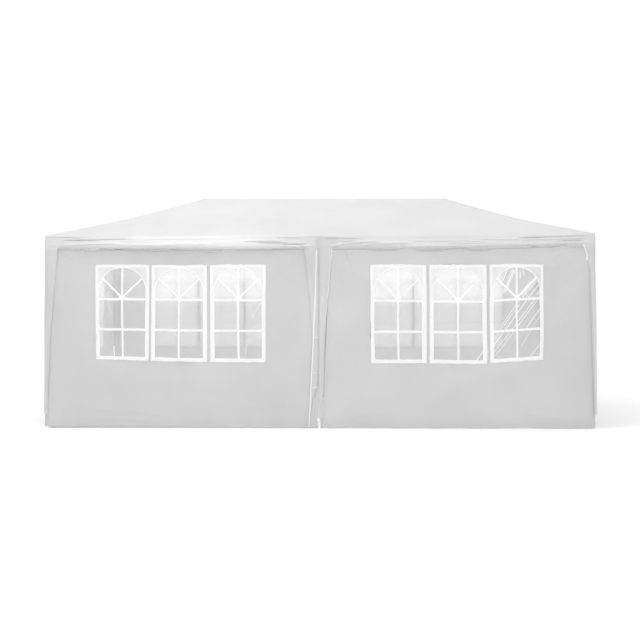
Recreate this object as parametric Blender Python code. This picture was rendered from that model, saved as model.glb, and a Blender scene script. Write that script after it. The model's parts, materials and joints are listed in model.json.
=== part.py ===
"""A marquee tent 6 m long and 3 m wide, with a hipped roof, window walls and a frame of steel tube.

Metres, +Z up. The origin is on the ground under the middle of the tent, +X runs along its length and
the long side seen in the picture faces -Y.
"""

import math

import bmesh
import bpy
from mathutils import Matrix, Vector

# The tent over its cover, and the hipped roof: the ridge is as much shorter as the roof is wide
LENGTH = 6.0
WIDTH = 3.0
EAVE_HEIGHT = 2.10
RIDGE_HEIGHT = 2.65
HIP_DIP = 0.027
SHEET_SAG = 0.025
SAG_ROOM = 0.0018

# Sheets and the gap between touching pieces
CLEAR = 0.0003
SKIN = 0.0035
FILM = 0.0025

# Steel tube and its sockets
TUBE_R = 0.016
TUBE_WALL = 0.0012
TUBE_SIDES = 12
SOCKET_START = 0.058
SOCKET_END = 0.100
ARM_STEP = 0.0003
RIDGE_INSET = 0.024
LEG_SPLICE = 1.02
SPLICE_LENGTH = 0.06
SPLICE_GROOVE = 0.0015

# Foot plates
PLATE_SIDE = 0.080
PLATE_THICK = 0.003
PLATE_LIP = 0.003
PEG_HOLE_R = 0.0045
PEG_HOLE_OUT = 0.028

# Walls, windows and the doorway
WALL_FOOT = 0.010
WALL_TOP = 1.965
WINDOW_COUNT = 3
WINDOW_WIDTH = 0.605
WINDOW_GAP = 0.0275
WINDOW_FOOT = 0.723
WINDOW_TOP = 1.800
FILM_LAP = 0.015
DOOR_WIDTH = 1.30
DOOR_HEIGHT = 1.75
ROLL_R = 0.035

# The valance under the eaves and the drapes that cover the legs
VALANCE_FOOT = 1.955
DRAPE_FOOT = 0.10
CORNER_DRAPE = ((1.0, 0.147), (0.90, 0.124), (0.60, 0.090), (0.30, 0.062), (0.0, 0.050))
MIDDLE_DRAPE = ((1.0, 0.149), (0.90, 0.127), (0.72, 0.100), (0.50, 0.075), (0.0, 0.066))

# The sides and ends of the tent, and the way each lies along Y or X
SIDES = {"front": -1, "back": 1}
ENDS = {"left": -1, "right": 1}

# Worked out from the sizes above
HALF_LENGTH = LENGTH / 2
HALF_WIDTH = WIDTH / 2
HALF_RIDGE = HALF_LENGTH - HALF_WIDTH
RISE = RIDGE_HEIGHT - EAVE_HEIGHT
PITCH = math.atan2(RISE, HALF_WIDTH)
SOCKET_R = TUBE_R + CLEAR + SKIN
WALL_OUT = TUBE_R + CLEAR
COVER_OUT = WALL_OUT + SKIN + CLEAR
LEG_X = HALF_LENGTH - SKIN - COVER_OUT
LEG_Y = HALF_WIDTH - SKIN - COVER_OUT
AXIS_DROP = SKIN + (SOCKET_R + CLEAR + SAG_ROOM) / math.cos(PITCH)
GROUP_WIDTH = WINDOW_COUNT * WINDOW_WIDTH + (WINDOW_COUNT - 1) * WINDOW_GAP


def hip_height(share):
    """Height of the roof sheet along a hip, by its share of the way up. It dips where the rafter is spliced."""
    return EAVE_HEIGHT + RISE * share - HIP_DIP * (1 - abs(2 * share - 1))


LEG_SHARE = (HALF_WIDTH - LEG_Y) / HALF_WIDTH
EAVE_AXIS = hip_height(LEG_SHARE) - AXIS_DROP
RIDGE_AXIS = RIDGE_HEIGHT - AXIS_DROP
VALANCE_TOP = EAVE_HEIGHT - SKIN - CLEAR


def material(name, colour, roughness, metallic=0.0, alpha=1.0):
    """A plain Principled material."""
    made = bpy.data.materials.new(name)
    made.use_nodes = True
    shader = made.node_tree.nodes["Principled BSDF"]
    shader.inputs["Base Color"].default_value = (*colour, 1)
    shader.inputs["Roughness"].default_value = roughness
    shader.inputs["Metallic"].default_value = metallic
    shader.inputs["Alpha"].default_value = alpha
    return made


def add_node(name, mesh, finish):
    """Links one named object that holds a closed mesh."""
    solid = bmesh.new()
    solid.from_mesh(mesh)
    bmesh.ops.recalc_face_normals(solid, faces=solid.faces)
    solid.to_mesh(mesh)
    solid.free()
    mesh.name = name
    mesh.materials.clear()
    mesh.materials.append(finish)
    made = bpy.data.objects.new(name, mesh)
    bpy.context.scene.collection.objects.link(made)
    return made


def mesh_of(bm, name="solid"):
    """Turns a bmesh into a mesh."""
    mesh = bpy.data.meshes.new(name)
    bm.to_mesh(mesh)
    bm.free()
    return mesh


def box(low, high):
    """A box between two corners."""
    bm = bmesh.new()
    size = [high[i] - low[i] for i in range(3)]
    centre = [(high[i] + low[i]) / 2 for i in range(3)]
    bmesh.ops.create_cube(bm, size=1.0, matrix=Matrix.Translation(centre) @ Matrix.Diagonal((*size, 1)))
    return mesh_of(bm)


def boolean(mesh, other, operation):
    """The union or difference of two meshes."""
    target = bpy.data.objects.new("target", mesh)
    tool = bpy.data.objects.new("tool", other)
    for piece in (target, tool):
        bpy.context.scene.collection.objects.link(piece)
    modifier = target.modifiers.new("boolean", "BOOLEAN")
    modifier.operation = operation
    modifier.object = tool
    graph = bpy.context.evaluated_depsgraph_get()
    result = bpy.data.meshes.new_from_object(target.evaluated_get(graph))
    for piece in (target, tool):
        bpy.data.objects.remove(piece)
    return result


def along(start, direction):
    """The matrix that puts a turned solid's foot at start, with its axis along direction."""
    turn = Vector(direction).normalized().to_track_quat("Z", "Y")
    return Matrix.Translation(start) @ turn.to_matrix().to_4x4()


def turned(profile, matrix, sides=TUBE_SIDES):
    """Turns a closed profile of (radius, height) points round the Z axis, then places it."""
    bm = bmesh.new()
    rings = []
    for radius, height in profile:
        angles = [2 * math.pi * i / sides for i in range(sides)]
        rings.append([
            bm.verts.new(matrix @ Vector((radius * math.cos(a), radius * math.sin(a), height)))
            for a in angles
        ])
    for k, ring in enumerate(rings):
        above = rings[(k + 1) % len(rings)]
        for i in range(sides):
            j = (i + 1) % sides
            bm.faces.new((ring[i], ring[j], above[j], above[i]))
    return mesh_of(bm)


def rod(start, direction, first, last, radius, sides=TUBE_SIDES):
    """A solid round bar on a line from start, between two distances along it."""
    bm = bmesh.new()
    place = along(start, direction) @ Matrix.Translation((0, 0, (first + last) / 2))
    bmesh.ops.create_cone(bm, cap_ends=True, segments=sides, radius1=radius, radius2=radius,
                          depth=last - first, matrix=place)
    return mesh_of(bm)


def hollow_bar(start, end, first, last):
    """A straight hollow tube on the line from start to end, cut short by first and last."""
    line = Vector(end) - Vector(start)
    inner = TUBE_R - TUBE_WALL
    top = line.length - last
    profile = ((TUBE_R, first), (TUBE_R, top), (inner, top), (inner, first))
    return turned(profile, along(start, line))


def bent_bar(points, cut):
    """A hollow tube through three points, bent at the middle one and cut short at both ends."""
    foot, middle, head = (Vector(p) for p in points)
    foot = foot + (middle - foot).normalized() * cut
    head = head + (middle - head).normalized() * cut
    way = (head - foot).normalized()
    side = way.cross(Vector((0, 0, 1))).normalized()
    directions = ((middle - foot).normalized(), way, (head - middle).normalized())
    inner = TUBE_R - TUBE_WALL
    bm = bmesh.new()
    sections = []
    for place, direction in zip((foot, middle, head), directions):
        rise = side.cross(direction)
        sections.append([
            [
                bm.verts.new(place + (side * math.cos(a) + rise * math.sin(a)) * radius)
                for a in (2 * math.pi * i / TUBE_SIDES for i in range(TUBE_SIDES))
            ]
            for radius in (TUBE_R, inner)
        ])
    for i in range(TUBE_SIDES):
        j = (i + 1) % TUBE_SIDES
        for (outer, bore), (outer_next, bore_next) in zip(sections, sections[1:]):
            bm.faces.new((outer[i], outer[j], outer_next[j], outer_next[i]))
            bm.faces.new((bore[j], bore[i], bore_next[i], bore_next[j]))
        for outer, bore in (sections[0], sections[-1]):
            bm.faces.new((outer[j], outer[i], bore[i], bore[j]))
    bmesh.ops.recalc_face_normals(bm, faces=bm.faces)
    return mesh_of(bm)


def ball(centre, radius):
    """A round ball."""
    bm = bmesh.new()
    bmesh.ops.create_uvsphere(bm, u_segments=TUBE_SIDES, v_segments=8, radius=radius,
                              matrix=Matrix.Translation(centre))
    return mesh_of(bm)


def socket_hub(centre, directions):
    """A moulded connector: a ball with one arm for each tube, each with a blind socket in its end."""
    body = ball(centre, SOCKET_R - ARM_STEP)
    for k, direction in enumerate(directions):
        arm = rod(centre, direction, -ARM_STEP * (5 + k), SOCKET_END, SOCKET_R - ARM_STEP * k)
        body = boolean(body, arm, "UNION")
    for direction in directions:
        bore = rod(centre, direction, SOCKET_START, SOCKET_END + TUBE_R, WALL_OUT)
        body = boolean(body, bore, "DIFFERENCE")
    return body


# Where the hubs are: the corners and middles of the eaves, and the ridge
def corner_hub(side_x, side_y):
    return Vector((side_x * LEG_X, side_y * LEG_Y, EAVE_AXIS))


def eave_hub(side_y):
    return Vector((0, side_y * LEG_Y, EAVE_AXIS))


def ridge_hub(side_x):
    return Vector((side_x * (HALF_RIDGE - RIDGE_INSET), 0, RIDGE_AXIS))


def rafter_splice(side_x, side_y):
    """The point halfway up a hip where its rafter's two tubes meet and give a little."""
    share = (LEG_SHARE + 1) / 2
    run = HALF_WIDTH * (1 - share)
    return Vector((side_x * (HALF_RIDGE + run), side_y * run, hip_height(0.5) - AXIS_DROP))


def leg(x, y):
    """A leg of two tubes pressed together, the lower one's narrowed top inside the upper, on its foot plate."""
    inner = TUBE_R - TUBE_WALL
    plug_bore = inner - TUBE_WALL
    foot = PLATE_THICK / 2
    seam = LEG_SPLICE + SPLICE_GROOVE
    top = EAVE_AXIS - SOCKET_START - CLEAR
    profile = (
        (TUBE_R, foot), (TUBE_R, LEG_SPLICE), (inner, LEG_SPLICE), (inner, seam), (TUBE_R, seam), (TUBE_R, top),
        (inner, top), (inner, LEG_SPLICE + SPLICE_LENGTH), (plug_bore, LEG_SPLICE + SPLICE_LENGTH),
        (plug_bore, LEG_SPLICE - SPLICE_LENGTH / 2), (inner, LEG_SPLICE - SPLICE_LENGTH), (inner, foot),
    )
    tube = turned(profile, Matrix.Translation((x, y, 0)))
    return boolean(foot_plate(x, y), tube, "UNION")


def plate_centre(x, y):
    """The middle of a leg's foot plate, which lies inside the walls: its outer edge is just past the leg."""
    inward = PLATE_SIDE / 2 - TUBE_R - PLATE_LIP
    return Vector((x - inward * (x > 0) + inward * (x < 0), y - inward * (y > 0) + inward * (y < 0), 0))


def foot_plate(x, y):
    """The square plate that a leg is welded to, with two holes for pegs."""
    half = Vector((PLATE_SIDE / 2, PLATE_SIDE / 2, 0))
    centre = plate_centre(x, y)
    plate = box(centre - half, centre + half + Vector((0, 0, PLATE_THICK)))
    slant = Vector((PEG_HOLE_OUT, -PEG_HOLE_OUT, 0)) if x * y > 0 else Vector((PEG_HOLE_OUT, PEG_HOLE_OUT, 0))
    for spot in (centre + slant, centre - slant):
        hole = rod(spot, (0, 0, 1), -PLATE_THICK, 2 * PLATE_THICK, PEG_HOLE_R, sides=8)
        plate = boolean(plate, hole, "DIFFERENCE")
    return plate


def sheet_solid(rows, thickness):
    """A closed sheet from rows of points on its upper face, thickened straight down."""
    bm = bmesh.new()
    top = [[bm.verts.new(p) for p in row] for row in rows]
    low = [[bm.verts.new(Vector(p) - Vector((0, 0, thickness))) for p in row] for row in rows]
    height, across = len(rows), len(rows[0])
    for i in range(height - 1):
        for j in range(across - 1):
            bm.faces.new((top[i][j], top[i][j + 1], top[i + 1][j + 1], top[i + 1][j]))
            bm.faces.new((low[i][j + 1], low[i][j], low[i + 1][j], low[i + 1][j + 1]))
    edge = [(0, j) for j in range(across)]
    edge += [(i, across - 1) for i in range(1, height)]
    edge += [(height - 1, j) for j in range(across - 2, -1, -1)]
    edge += [(i, 0) for i in range(height - 2, 0, -1)]
    for (i, j), (k, m) in zip(edge, edge[1:] + edge[:1]):
        bm.faces.new((top[k][m], top[i][j], low[i][j], low[k][m]))
    bmesh.ops.recalc_face_normals(bm, faces=bm.faces)
    bmesh.ops.triangulate(bm, faces=bm.faces)
    return mesh_of(bm)


def long_slope(side_y, columns=8, rows=4):
    """The roof's panel on a long side, a trapezium that sags between the hips and the middle rafter."""
    points = []
    for i in range(rows + 1):
        share = i / rows
        reach = HALF_LENGTH - HALF_WIDTH * share - CLEAR
        straight = EAVE_HEIGHT + RISE * share
        row = []
        for j in range(columns + 1):
            across = 2 * j / columns - 1
            out = abs(across)
            sag = SHEET_SAG * 16 * share * (1 - share) * out * (1 - out)
            height = straight + (hip_height(share) - straight) * out - sag
            away = max(HALF_WIDTH * (1 - share), CLEAR)
            row.append((across * reach, side_y * away, height))
        points.append(row)
    return sheet_solid(points, SKIN)


def end_slope(side_x, columns=4, rows=4):
    """The roof's panel on a short side, a triangle that sags in the middle."""
    top_share = 1 - 0.003 / HALF_WIDTH
    points = []
    for i in range(rows + 1):
        share = i / rows * top_share
        reach = HALF_WIDTH * (1 - share) - CLEAR
        row = []
        for j in range(columns + 1):
            across = 2 * j / columns - 1
            sag = SHEET_SAG * 4 * share * (1 - share) * (1 - across * across)
            row.append((side_x * (HALF_LENGTH - HALF_WIDTH * share), across * reach, hip_height(share) - sag))
        points.append(row)
    return sheet_solid(points, SKIN)


def lofted(sections):
    """A closed solid through level outlines with the same number of points, from foot to head."""
    bm = bmesh.new()
    loops = [[bm.verts.new(p) for p in section] for section in sections]
    count = len(loops[0])
    for lower, upper in zip(loops, loops[1:]):
        for i in range(count):
            j = (i + 1) % count
            bm.faces.new((lower[i], lower[j], upper[j], upper[i]))
    bm.faces.new(loops[0])
    bm.faces.new(loops[-1])
    bmesh.ops.recalc_face_normals(bm, faces=bm.faces)
    bmesh.ops.triangulate(bm, faces=bm.faces)
    return mesh_of(bm)


def drape_rows(widths):
    """The heights and widths of a drape, from its foot to the valance."""
    head = VALANCE_FOOT - CLEAR
    return [(DRAPE_FOOT + (head - DRAPE_FOOT) * share, width) for share, width in reversed(widths)]


def corner_drape(side_x, side_y):
    """The cover's drape down a corner leg, folded round the corner and narrowing to its foot."""
    sections = []
    for z, width in drape_rows(CORNER_DRAPE):
        x, y = HALF_LENGTH, HALF_WIDTH
        outline = (
            (x, y), (x - width, y), (x - width, y - SKIN), (x - SKIN, y - SKIN), (x - SKIN, y - width), (x, y - width),
        )
        sections.append([(side_x * a, side_y * b, z) for a, b in outline])
    return lofted(sections)


def middle_drape(side_y):
    """The cover's drape down a middle leg."""
    sections = []
    for z, width in drape_rows(MIDDLE_DRAPE):
        outline = (
            (-width, HALF_WIDTH), (width, HALF_WIDTH), (width, HALF_WIDTH - SKIN), (-width, HALF_WIDTH - SKIN),
        )
        sections.append([(a, side_y * b, z) for a, b in outline])
    return lofted(sections)


def window_centres():
    """How far each window's centre is from the middle of its wall."""
    pitch = WINDOW_WIDTH + WINDOW_GAP
    return [(k - (WINDOW_COUNT - 1) / 2) * pitch for k in range(WINDOW_COUNT)]


def wall_box(along_x, place, low, high, foot, head, out, thickness):
    """A slab of a wall: out is how far its inner face is from the leg's axis, on the side that place names."""
    if along_x:
        faces = sorted((place * (LEG_Y + out), place * (LEG_Y + out + thickness)))
        return box((low, faces[0], foot), (high, faces[1], head))
    faces = sorted((place * (LEG_X + out), place * (LEG_X + out + thickness)))
    return box((faces[0], low, foot), (faces[1], high, head))


def window_wall(along_x, place, low, high, centre):
    """A wall with its three window openings cut through."""
    wall = wall_box(along_x, place, low, high, WALL_FOOT, WALL_TOP, WALL_OUT, SKIN)
    for middle in window_centres():
        left = centre + middle - WINDOW_WIDTH / 2
        hole = wall_box(along_x, place, left, left + WINDOW_WIDTH, WINDOW_FOOT, WINDOW_TOP, 0, 2 * SOCKET_R)
        wall = boolean(wall, hole, "DIFFERENCE")
    return wall


def window_film(along_x, place, centre):
    """The clear film behind a wall's three windows, welded round them and between them."""
    reach = GROUP_WIDTH / 2 + FILM_LAP
    low = WINDOW_FOOT - FILM_LAP
    high = WINDOW_TOP + FILM_LAP
    return wall_box(along_x, place, centre - reach, centre + reach, low, high, WALL_OUT - CLEAR - FILM, FILM)


def build_frame(steel, plastic):
    """Legs, eave tubes, ridge, rafters and the hubs that join them."""
    bar_cut = SOCKET_START + CLEAR
    ridge_middle = Vector((0, 0, RIDGE_AXIS))
    for side, y in SIDES.items():
        for end, x in (("left", -1), ("middle", 0), ("right", 1)):
            add_node(f"leg_{side}_{end}", leg(x * LEG_X, y * LEG_Y), steel)
        for end, x in ENDS.items():
            eave = hollow_bar(corner_hub(x, y), eave_hub(y), bar_cut, bar_cut)
            add_node(f"eave_tube_{side}_{end}", eave, steel)
            way = (corner_hub(x, y), rafter_splice(x, y), ridge_hub(x))
            add_node(f"hip_rafter_{side}_{end}", bent_bar(way, bar_cut), steel)
            hip = rafter_splice(x, y) - corner_hub(x, y)
            corner = socket_hub(corner_hub(x, y), ((0, 0, -1), (-x, 0, 0), (0, -y, 0), hip))
            add_node(f"corner_connector_{side}_{end}", corner, plastic)
        slope = ridge_middle - eave_hub(y)
        middle = socket_hub(eave_hub(y), ((0, 0, -1), (1, 0, 0), (-1, 0, 0), slope))
        add_node(f"eave_connector_{side}", middle, plastic)
        add_node(f"middle_rafter_{side}", hollow_bar(eave_hub(y), ridge_middle, bar_cut, bar_cut), steel)

    for end, x in ENDS.items():
        eave = hollow_bar(corner_hub(x, -1), corner_hub(x, 1), bar_cut, bar_cut)
        add_node(f"eave_tube_{end}_end", eave, steel)
        add_node(f"ridge_tube_{end}", hollow_bar(ridge_middle, ridge_hub(x), bar_cut, bar_cut), steel)
        hips = [rafter_splice(x, y) - ridge_hub(x) for y in SIDES.values()]
        add_node(f"ridge_connector_{end}", socket_hub(ridge_hub(x), ((-x, 0, 0), *hips)), plastic)
    slopes = [eave_hub(y) - ridge_middle for y in SIDES.values()]
    crest = socket_hub(ridge_middle, ((1, 0, 0), (-1, 0, 0), *slopes))
    add_node("ridge_connector_middle", crest, plastic)


def build_cover(sheet):
    """The roof's four panels, the valance under them and the drapes down the legs."""
    for side, y in SIDES.items():
        add_node(f"roof_panel_{side}", long_slope(y), sheet)
        face = sorted((y * HALF_WIDTH, y * (HALF_WIDTH - SKIN)))
        strip = box((-HALF_LENGTH, face[0], VALANCE_FOOT), (HALF_LENGTH, face[1], VALANCE_TOP))
        add_node(f"valance_{side}", strip, sheet)
        add_node(f"leg_drape_{side}_middle", middle_drape(y), sheet)
        for end, x in ENDS.items():
            add_node(f"leg_drape_{side}_{end}", corner_drape(x, y), sheet)
    reach = HALF_WIDTH - SKIN - CLEAR
    for end, x in ENDS.items():
        add_node(f"roof_panel_{end}", end_slope(x), sheet)
        face = sorted((x * HALF_LENGTH, x * (HALF_LENGTH - SKIN)))
        strip = box((face[0], -reach, VALANCE_FOOT), (face[1], reach, VALANCE_TOP))
        add_node(f"valance_{end}", strip, sheet)


def build_walls(sheet, clear_film):
    """Five window walls, and the right end with its doorway and the door rolled up inside it."""
    inner_edge = TUBE_R + SKIN
    outer_edge = LEG_X + WALL_OUT - CLEAR
    bay = HALF_LENGTH / 2
    for side, y in SIDES.items():
        for end, x in ENDS.items():
            low, high = sorted((x * inner_edge, x * outer_edge))
            add_node(f"wall_{side}_{end}", window_wall(True, y, low, high, x * bay), sheet)
            add_node(f"window_film_{side}_{end}", window_film(True, y, x * bay), clear_film)
    reach = LEG_Y + WALL_OUT + SKIN
    add_node("wall_left_end", window_wall(False, -1, -reach, reach, 0), sheet)
    add_node("window_film_left_end", window_film(False, -1, 0), clear_film)

    jamb = DOOR_WIDTH / 2
    below = DOOR_HEIGHT - CLEAR
    for side, y in SIDES.items():
        low, high = sorted((y * jamb, y * reach))
        panel = wall_box(False, 1, low, high, WALL_FOOT, below, WALL_OUT, SKIN)
        add_node(f"door_wall_{side}", panel, sheet)
    head = wall_box(False, 1, -reach, reach, DOOR_HEIGHT, WALL_TOP, WALL_OUT, SKIN)
    add_node("door_wall_head", head, sheet)
    roll_x = LEG_X + WALL_OUT - CLEAR - ROLL_R
    start = Vector((roll_x, 0, DOOR_HEIGHT + ROLL_R / 2))
    half_roll = jamb - SKIN
    add_node("door_roll", rod(start, (0, 1, 0), -half_roll, half_roll, ROLL_R, sides=16), sheet)


def main():
    for old in list(bpy.data.objects):
        bpy.data.objects.remove(old)
    steel = material("white_steel", (0.86, 0.86, 0.85), 0.35, 0.1)
    plastic = material("white_plastic", (0.80, 0.80, 0.79), 0.45)
    roof_sheet = material("roof_sheet", (0.90, 0.90, 0.90), 0.45)
    wall_sheet = material("wall_sheet", (0.72, 0.72, 0.72), 0.5)
    clear_film = material("window_film", (0.90, 0.92, 0.93), 0.1, 0.0, 0.35)
    build_frame(steel, plastic)
    build_cover(roof_sheet)
    build_walls(wall_sheet, clear_film)


main()
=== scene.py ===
"""Dresses the marquee tent: its sheets with their folds, printed windows, hems, ties and finishes."""

import json
import math
import random

import bpy
import numpy as np
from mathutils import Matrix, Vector
from mathutils.geometry import delaunay_2d_cdt

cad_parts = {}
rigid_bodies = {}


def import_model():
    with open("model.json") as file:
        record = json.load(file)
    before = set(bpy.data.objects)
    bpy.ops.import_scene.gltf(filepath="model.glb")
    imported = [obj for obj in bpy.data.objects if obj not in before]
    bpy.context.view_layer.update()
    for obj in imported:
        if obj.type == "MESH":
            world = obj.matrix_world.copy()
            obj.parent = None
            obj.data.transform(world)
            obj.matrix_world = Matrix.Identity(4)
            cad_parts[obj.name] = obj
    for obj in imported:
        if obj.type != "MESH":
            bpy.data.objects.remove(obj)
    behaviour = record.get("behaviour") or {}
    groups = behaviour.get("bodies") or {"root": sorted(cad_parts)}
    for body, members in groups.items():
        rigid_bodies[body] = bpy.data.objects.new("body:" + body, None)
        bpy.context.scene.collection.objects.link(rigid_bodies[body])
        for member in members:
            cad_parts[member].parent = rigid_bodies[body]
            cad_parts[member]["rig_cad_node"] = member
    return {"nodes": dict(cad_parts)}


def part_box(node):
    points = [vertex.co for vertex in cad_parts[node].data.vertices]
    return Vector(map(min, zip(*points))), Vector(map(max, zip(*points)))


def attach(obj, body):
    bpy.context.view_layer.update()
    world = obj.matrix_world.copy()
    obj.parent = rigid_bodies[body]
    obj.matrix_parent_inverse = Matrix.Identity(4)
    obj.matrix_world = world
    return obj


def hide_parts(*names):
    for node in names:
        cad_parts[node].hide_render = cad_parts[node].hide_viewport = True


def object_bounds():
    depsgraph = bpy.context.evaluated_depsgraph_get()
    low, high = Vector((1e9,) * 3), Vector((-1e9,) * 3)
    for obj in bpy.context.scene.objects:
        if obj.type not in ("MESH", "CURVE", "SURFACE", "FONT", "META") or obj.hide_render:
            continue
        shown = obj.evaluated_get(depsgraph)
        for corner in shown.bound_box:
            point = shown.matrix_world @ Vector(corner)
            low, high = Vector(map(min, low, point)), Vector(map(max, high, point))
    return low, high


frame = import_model()
CAD_LOW, CAD_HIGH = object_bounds()

# The tent's main sizes, from the frame
WALL_LOW, WALL_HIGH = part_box("wall_front_left")
SKIN = WALL_HIGH.y - WALL_LOW.y
WALL_FOOT = WALL_LOW.z
WALL_TOP = WALL_HIGH.z
HALF_LENGTH = CAD_HIGH.x
HALF_WIDTH = CAD_HIGH.y
BAY = HALF_LENGTH
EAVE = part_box("valance_front")[1].z + SKIN
EAVE_AXIS = sum(corner.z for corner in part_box("eave_tube_front_left")) / 2
RISE = CAD_HIGH.z - EAVE
PITCH = math.atan2(RISE, HALF_WIDTH)
TUBE_R = 0.016
TUBE_INSET = 0.0236
LEG_SPLICE = 1.02

# Heights of the ties on the middle legs, and the places of the rolled door's straps across the doorway
LEG_TIES = (0.990, 0.606, 0.445)
STRAPS = (-0.42, 0.0, 0.42)

# The camera, fitted to the picture's frame of 640 by 640, and the studio
FRAME_PIXELS = 640
CAMERA_PLACE = (0.457, -HALF_WIDTH - 10.43, 1.454)
CAMERA_TURN = 0.0131
FOCAL_PIXELS = 959.2
PRINCIPAL_POINT = (348.5, 294.8)
SENSOR = 36.0
SOFTBOX = (-2.0, -3.6, 7.5)
SOFTBOX_AIM = (-0.6, -0.4, 2.0)
SOFTBOX_SIZE = (4.4, 2.4)
SOFTBOX_WATTS = 165.0
SKY = 1.08
FLOOR_LINES = (-900.0, -60.0, -8.0, 8.0, 60.0, 900.0)
FLOOR_HEIGHT = -0.0005

# Roof: the dip along the hips, the sag between the rafters, and the soft bend over the eaves
HIP_DIP = 0.027
SHEET_SAG = 0.022
BEND_TIGHT = 0.012
BEND_SLACK = 0.020
CORNER_ROUND = 0.020
CORNER_LIFT = 0.020
LIFT_REACH = 0.9

# The cover's rows of points: over the roof, closer together towards the ridge, round the bend, and down
ROOF_ROWS = 29
ROOF_ROWS_EASE = 1.15
BEND_ROWS = 7
VALANCE_ROWS = 41
DRAPE_ROWS = 90

# The valance's pillow between the legs: how far it stands out, and the share of that its lower edge gives
# back. CREST is the share of the way down at which it stands out most
PILLOWS = {"front_left": (0.057, 0.35), "front_right": (0.036, 0.85)}
PILLOW = (0.032, 0.50)
CREST = 0.80
CREST_ROUND = 0.07

# The drapes by height: a corner's two flaps by their width, and a middle leg's flaps and its webbing by where
# they start and end. Distances are from the leg's axis or from the corner
CORNER_TOP = 0.147
CORNER_WIDTHS = ((0.140, 0.034), (0.40, 0.040), (0.67, 0.050), (0.945, 0.060), (1.126, 0.072), (1.307, 0.090),
                 (1.67, 0.123), (1.955, 0.147))
FRONT_RIGHT_WIDTHS = ((0.140, 0.018), (0.40, 0.022), (0.58, 0.029), (0.945, 0.040), (1.308, 0.048),
                      (1.743, 0.062), (1.852, 0.086), (1.925, 0.106), (1.99, 0.147))
CORNER_FOOT = 0.148
CORNER_BULGE = 0.005
FRONT_RIGHT_BULGE = 0.014
LEFT_FLAP = ((0.02, -0.119, -0.104), (0.20, -0.110, -0.092), (0.33, -0.104, -0.070), (0.44, -0.099, -0.026),
             (0.52, -0.095, -0.018), (0.91, -0.073, -0.015), (1.126, -0.079, -0.012), (1.485, -0.107, -0.009),
             (1.757, -0.134, -0.008), (1.955, -0.157, -0.007))
RIGHT_FLAP = ((0.11, 0.000, 0.034), (0.473, -0.002, 0.048), (0.853, -0.001, 0.057), (1.18, 0.000, 0.075),
              (1.506, 0.001, 0.102), (1.757, 0.002, 0.125), (1.955, 0.003, 0.140))
WEBBING = ((0.008, -0.109), (0.585, -0.080), (0.91, -0.064), (1.126, -0.056), (1.485, -0.040),
           (1.757, -0.032), (1.935, -0.027))
WEBBING_WIDTH = 0.011
WEBBING_THICK = 0.0028
# Rows of the right flap's upper hem made in the brighter webbing white, a painted highlight
PAINTED_HIGHLIGHT_HEM_ROWS = 27

# The drapes' folds: height, waves across, and how far and how fast they sway down the drape
FLAP_RIPPLES = ((0.0050, 1.3, 0.10, 2.2), (0.0016, 2.9, 0.12, 1.7))
CORNER_RIPPLES = ((0.0042, 0.9, 0.10, 2.6), (0.0022, 2.3, 0.15, 2.0))
DRAPE_STAND = 0.003
DRAPE_EASE = 0.22

# Windows, as cut and printed
WINDOW_WIDTH = 0.605
WINDOW_GAP = 0.0275
WINDOW_FOOT = 0.723
WINDOW_TOP = 1.800
FILM_LAP = 0.015
FILM_BACK = -0.0025
PRINT_PROUD = 0.0042
PANE_HALF = 0.262
PANE_FOOT = 0.760
ARCH_CENTRE = 1.505
BAR_HEIGHTS = (1.069, 1.406)
BAR_WIDTH = 0.027
POST_WIDTH = 0.023
HUB_R = 0.036
HUB_RISE = 0.004
HUB_GAP = 0.012

# How dusty the films are below their upper bars
DUST = {"front": 0.35, "back": 1.0}
DUST_ELSEWHERE = 0.5
DUST_TOP = 1.44

# A film's crease wider than this is a soft fold whose whiteness is a painted highlight, and a narrower one a
# ridge whose foot is this much wider
BROAD = 0.008
RIDGE_FOOT = 1.5

# How near points have to be to count as one: in most pieces, in the cover, and in the zips' teeth
WELD = 0.00001
COVER_WELD = 0.00005
TOOTH_WELD = 0.000001

NEAR = 1e-6
TURN = 2 * math.pi
UP = np.array((0.0, 0.0, 1.0))


def smooth(x):
    """An ease from 0 to 1."""
    x = np.clip(x, 0, 1)
    return x * x * (3 - 2 * x)


def table_at(table, x, column=1):
    """A value read from a table whose first column is the place."""
    return np.interp(x, [row[0] for row in table], [row[column] for row in table])


def between(t, low, high):
    """Which of the points t lie from low to high."""
    return (t >= low - NEAR) & (t <= high + NEAR)


def inside_by(t, z, low, high, foot, head):
    """How far points are inside an upright rectangle."""
    return np.minimum(np.minimum(t - low, high - t), np.minimum(z - foot, head - z))


def waves(u, v, seed, size, count=7):
    """Soft random hills of about one unit's height, size metres across."""
    draw = random.Random(seed)
    total = np.zeros(np.broadcast(u, v).shape)
    for _ in range(count):
        angle = draw.uniform(0, math.pi)
        pitch = size * draw.uniform(0.6, 1.7)
        phase = draw.uniform(0, TURN)
        total = total + np.sin((u * math.cos(angle) + v * math.sin(angle)) * TURN / pitch + phase)
    return total / math.sqrt(count)


def off_line(u, v, start, end, ease):
    """How far points are off a line, their share of the way along it, and a fade to 0 at its ends."""
    du, dv = end[0] - start[0], end[1] - start[1]
    length = math.hypot(du, dv)
    along = ((u - start[0]) * du + (v - start[1]) * dv) / length ** 2
    off = ((v - start[1]) * du - (u - start[0]) * dv) / length
    return off, along, smooth(along / ease) * smooth((1 - along) / ease)


def stroke(u, v, start, end, width, bow=0.0, under=1.0, ease=0.15):
    """How near points are to a bowed line, from 1 to 0. Below it the width is under times as much."""
    off, along, fade = off_line(u, v, start, end, ease)
    off = off - bow * 4 * along * (1 - along)
    return np.exp(-((off / np.where(off > 0, width, width * under)) ** 2)) * fade


def ridge(u, v, start, end, width, ease=0.06):
    """The same for a crisp crease: 1 within width of the line, and 0 a little further out."""
    off, _, fade = off_line(u, v, start, end, ease)
    return np.clip((RIDGE_FOOT - np.abs(off) / width) / (RIDGE_FOOT - 1), 0, 1) * fade


# Materials. Scales are per metre, bump distances are in metres, and tones and shares run from 0 to 1

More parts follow.
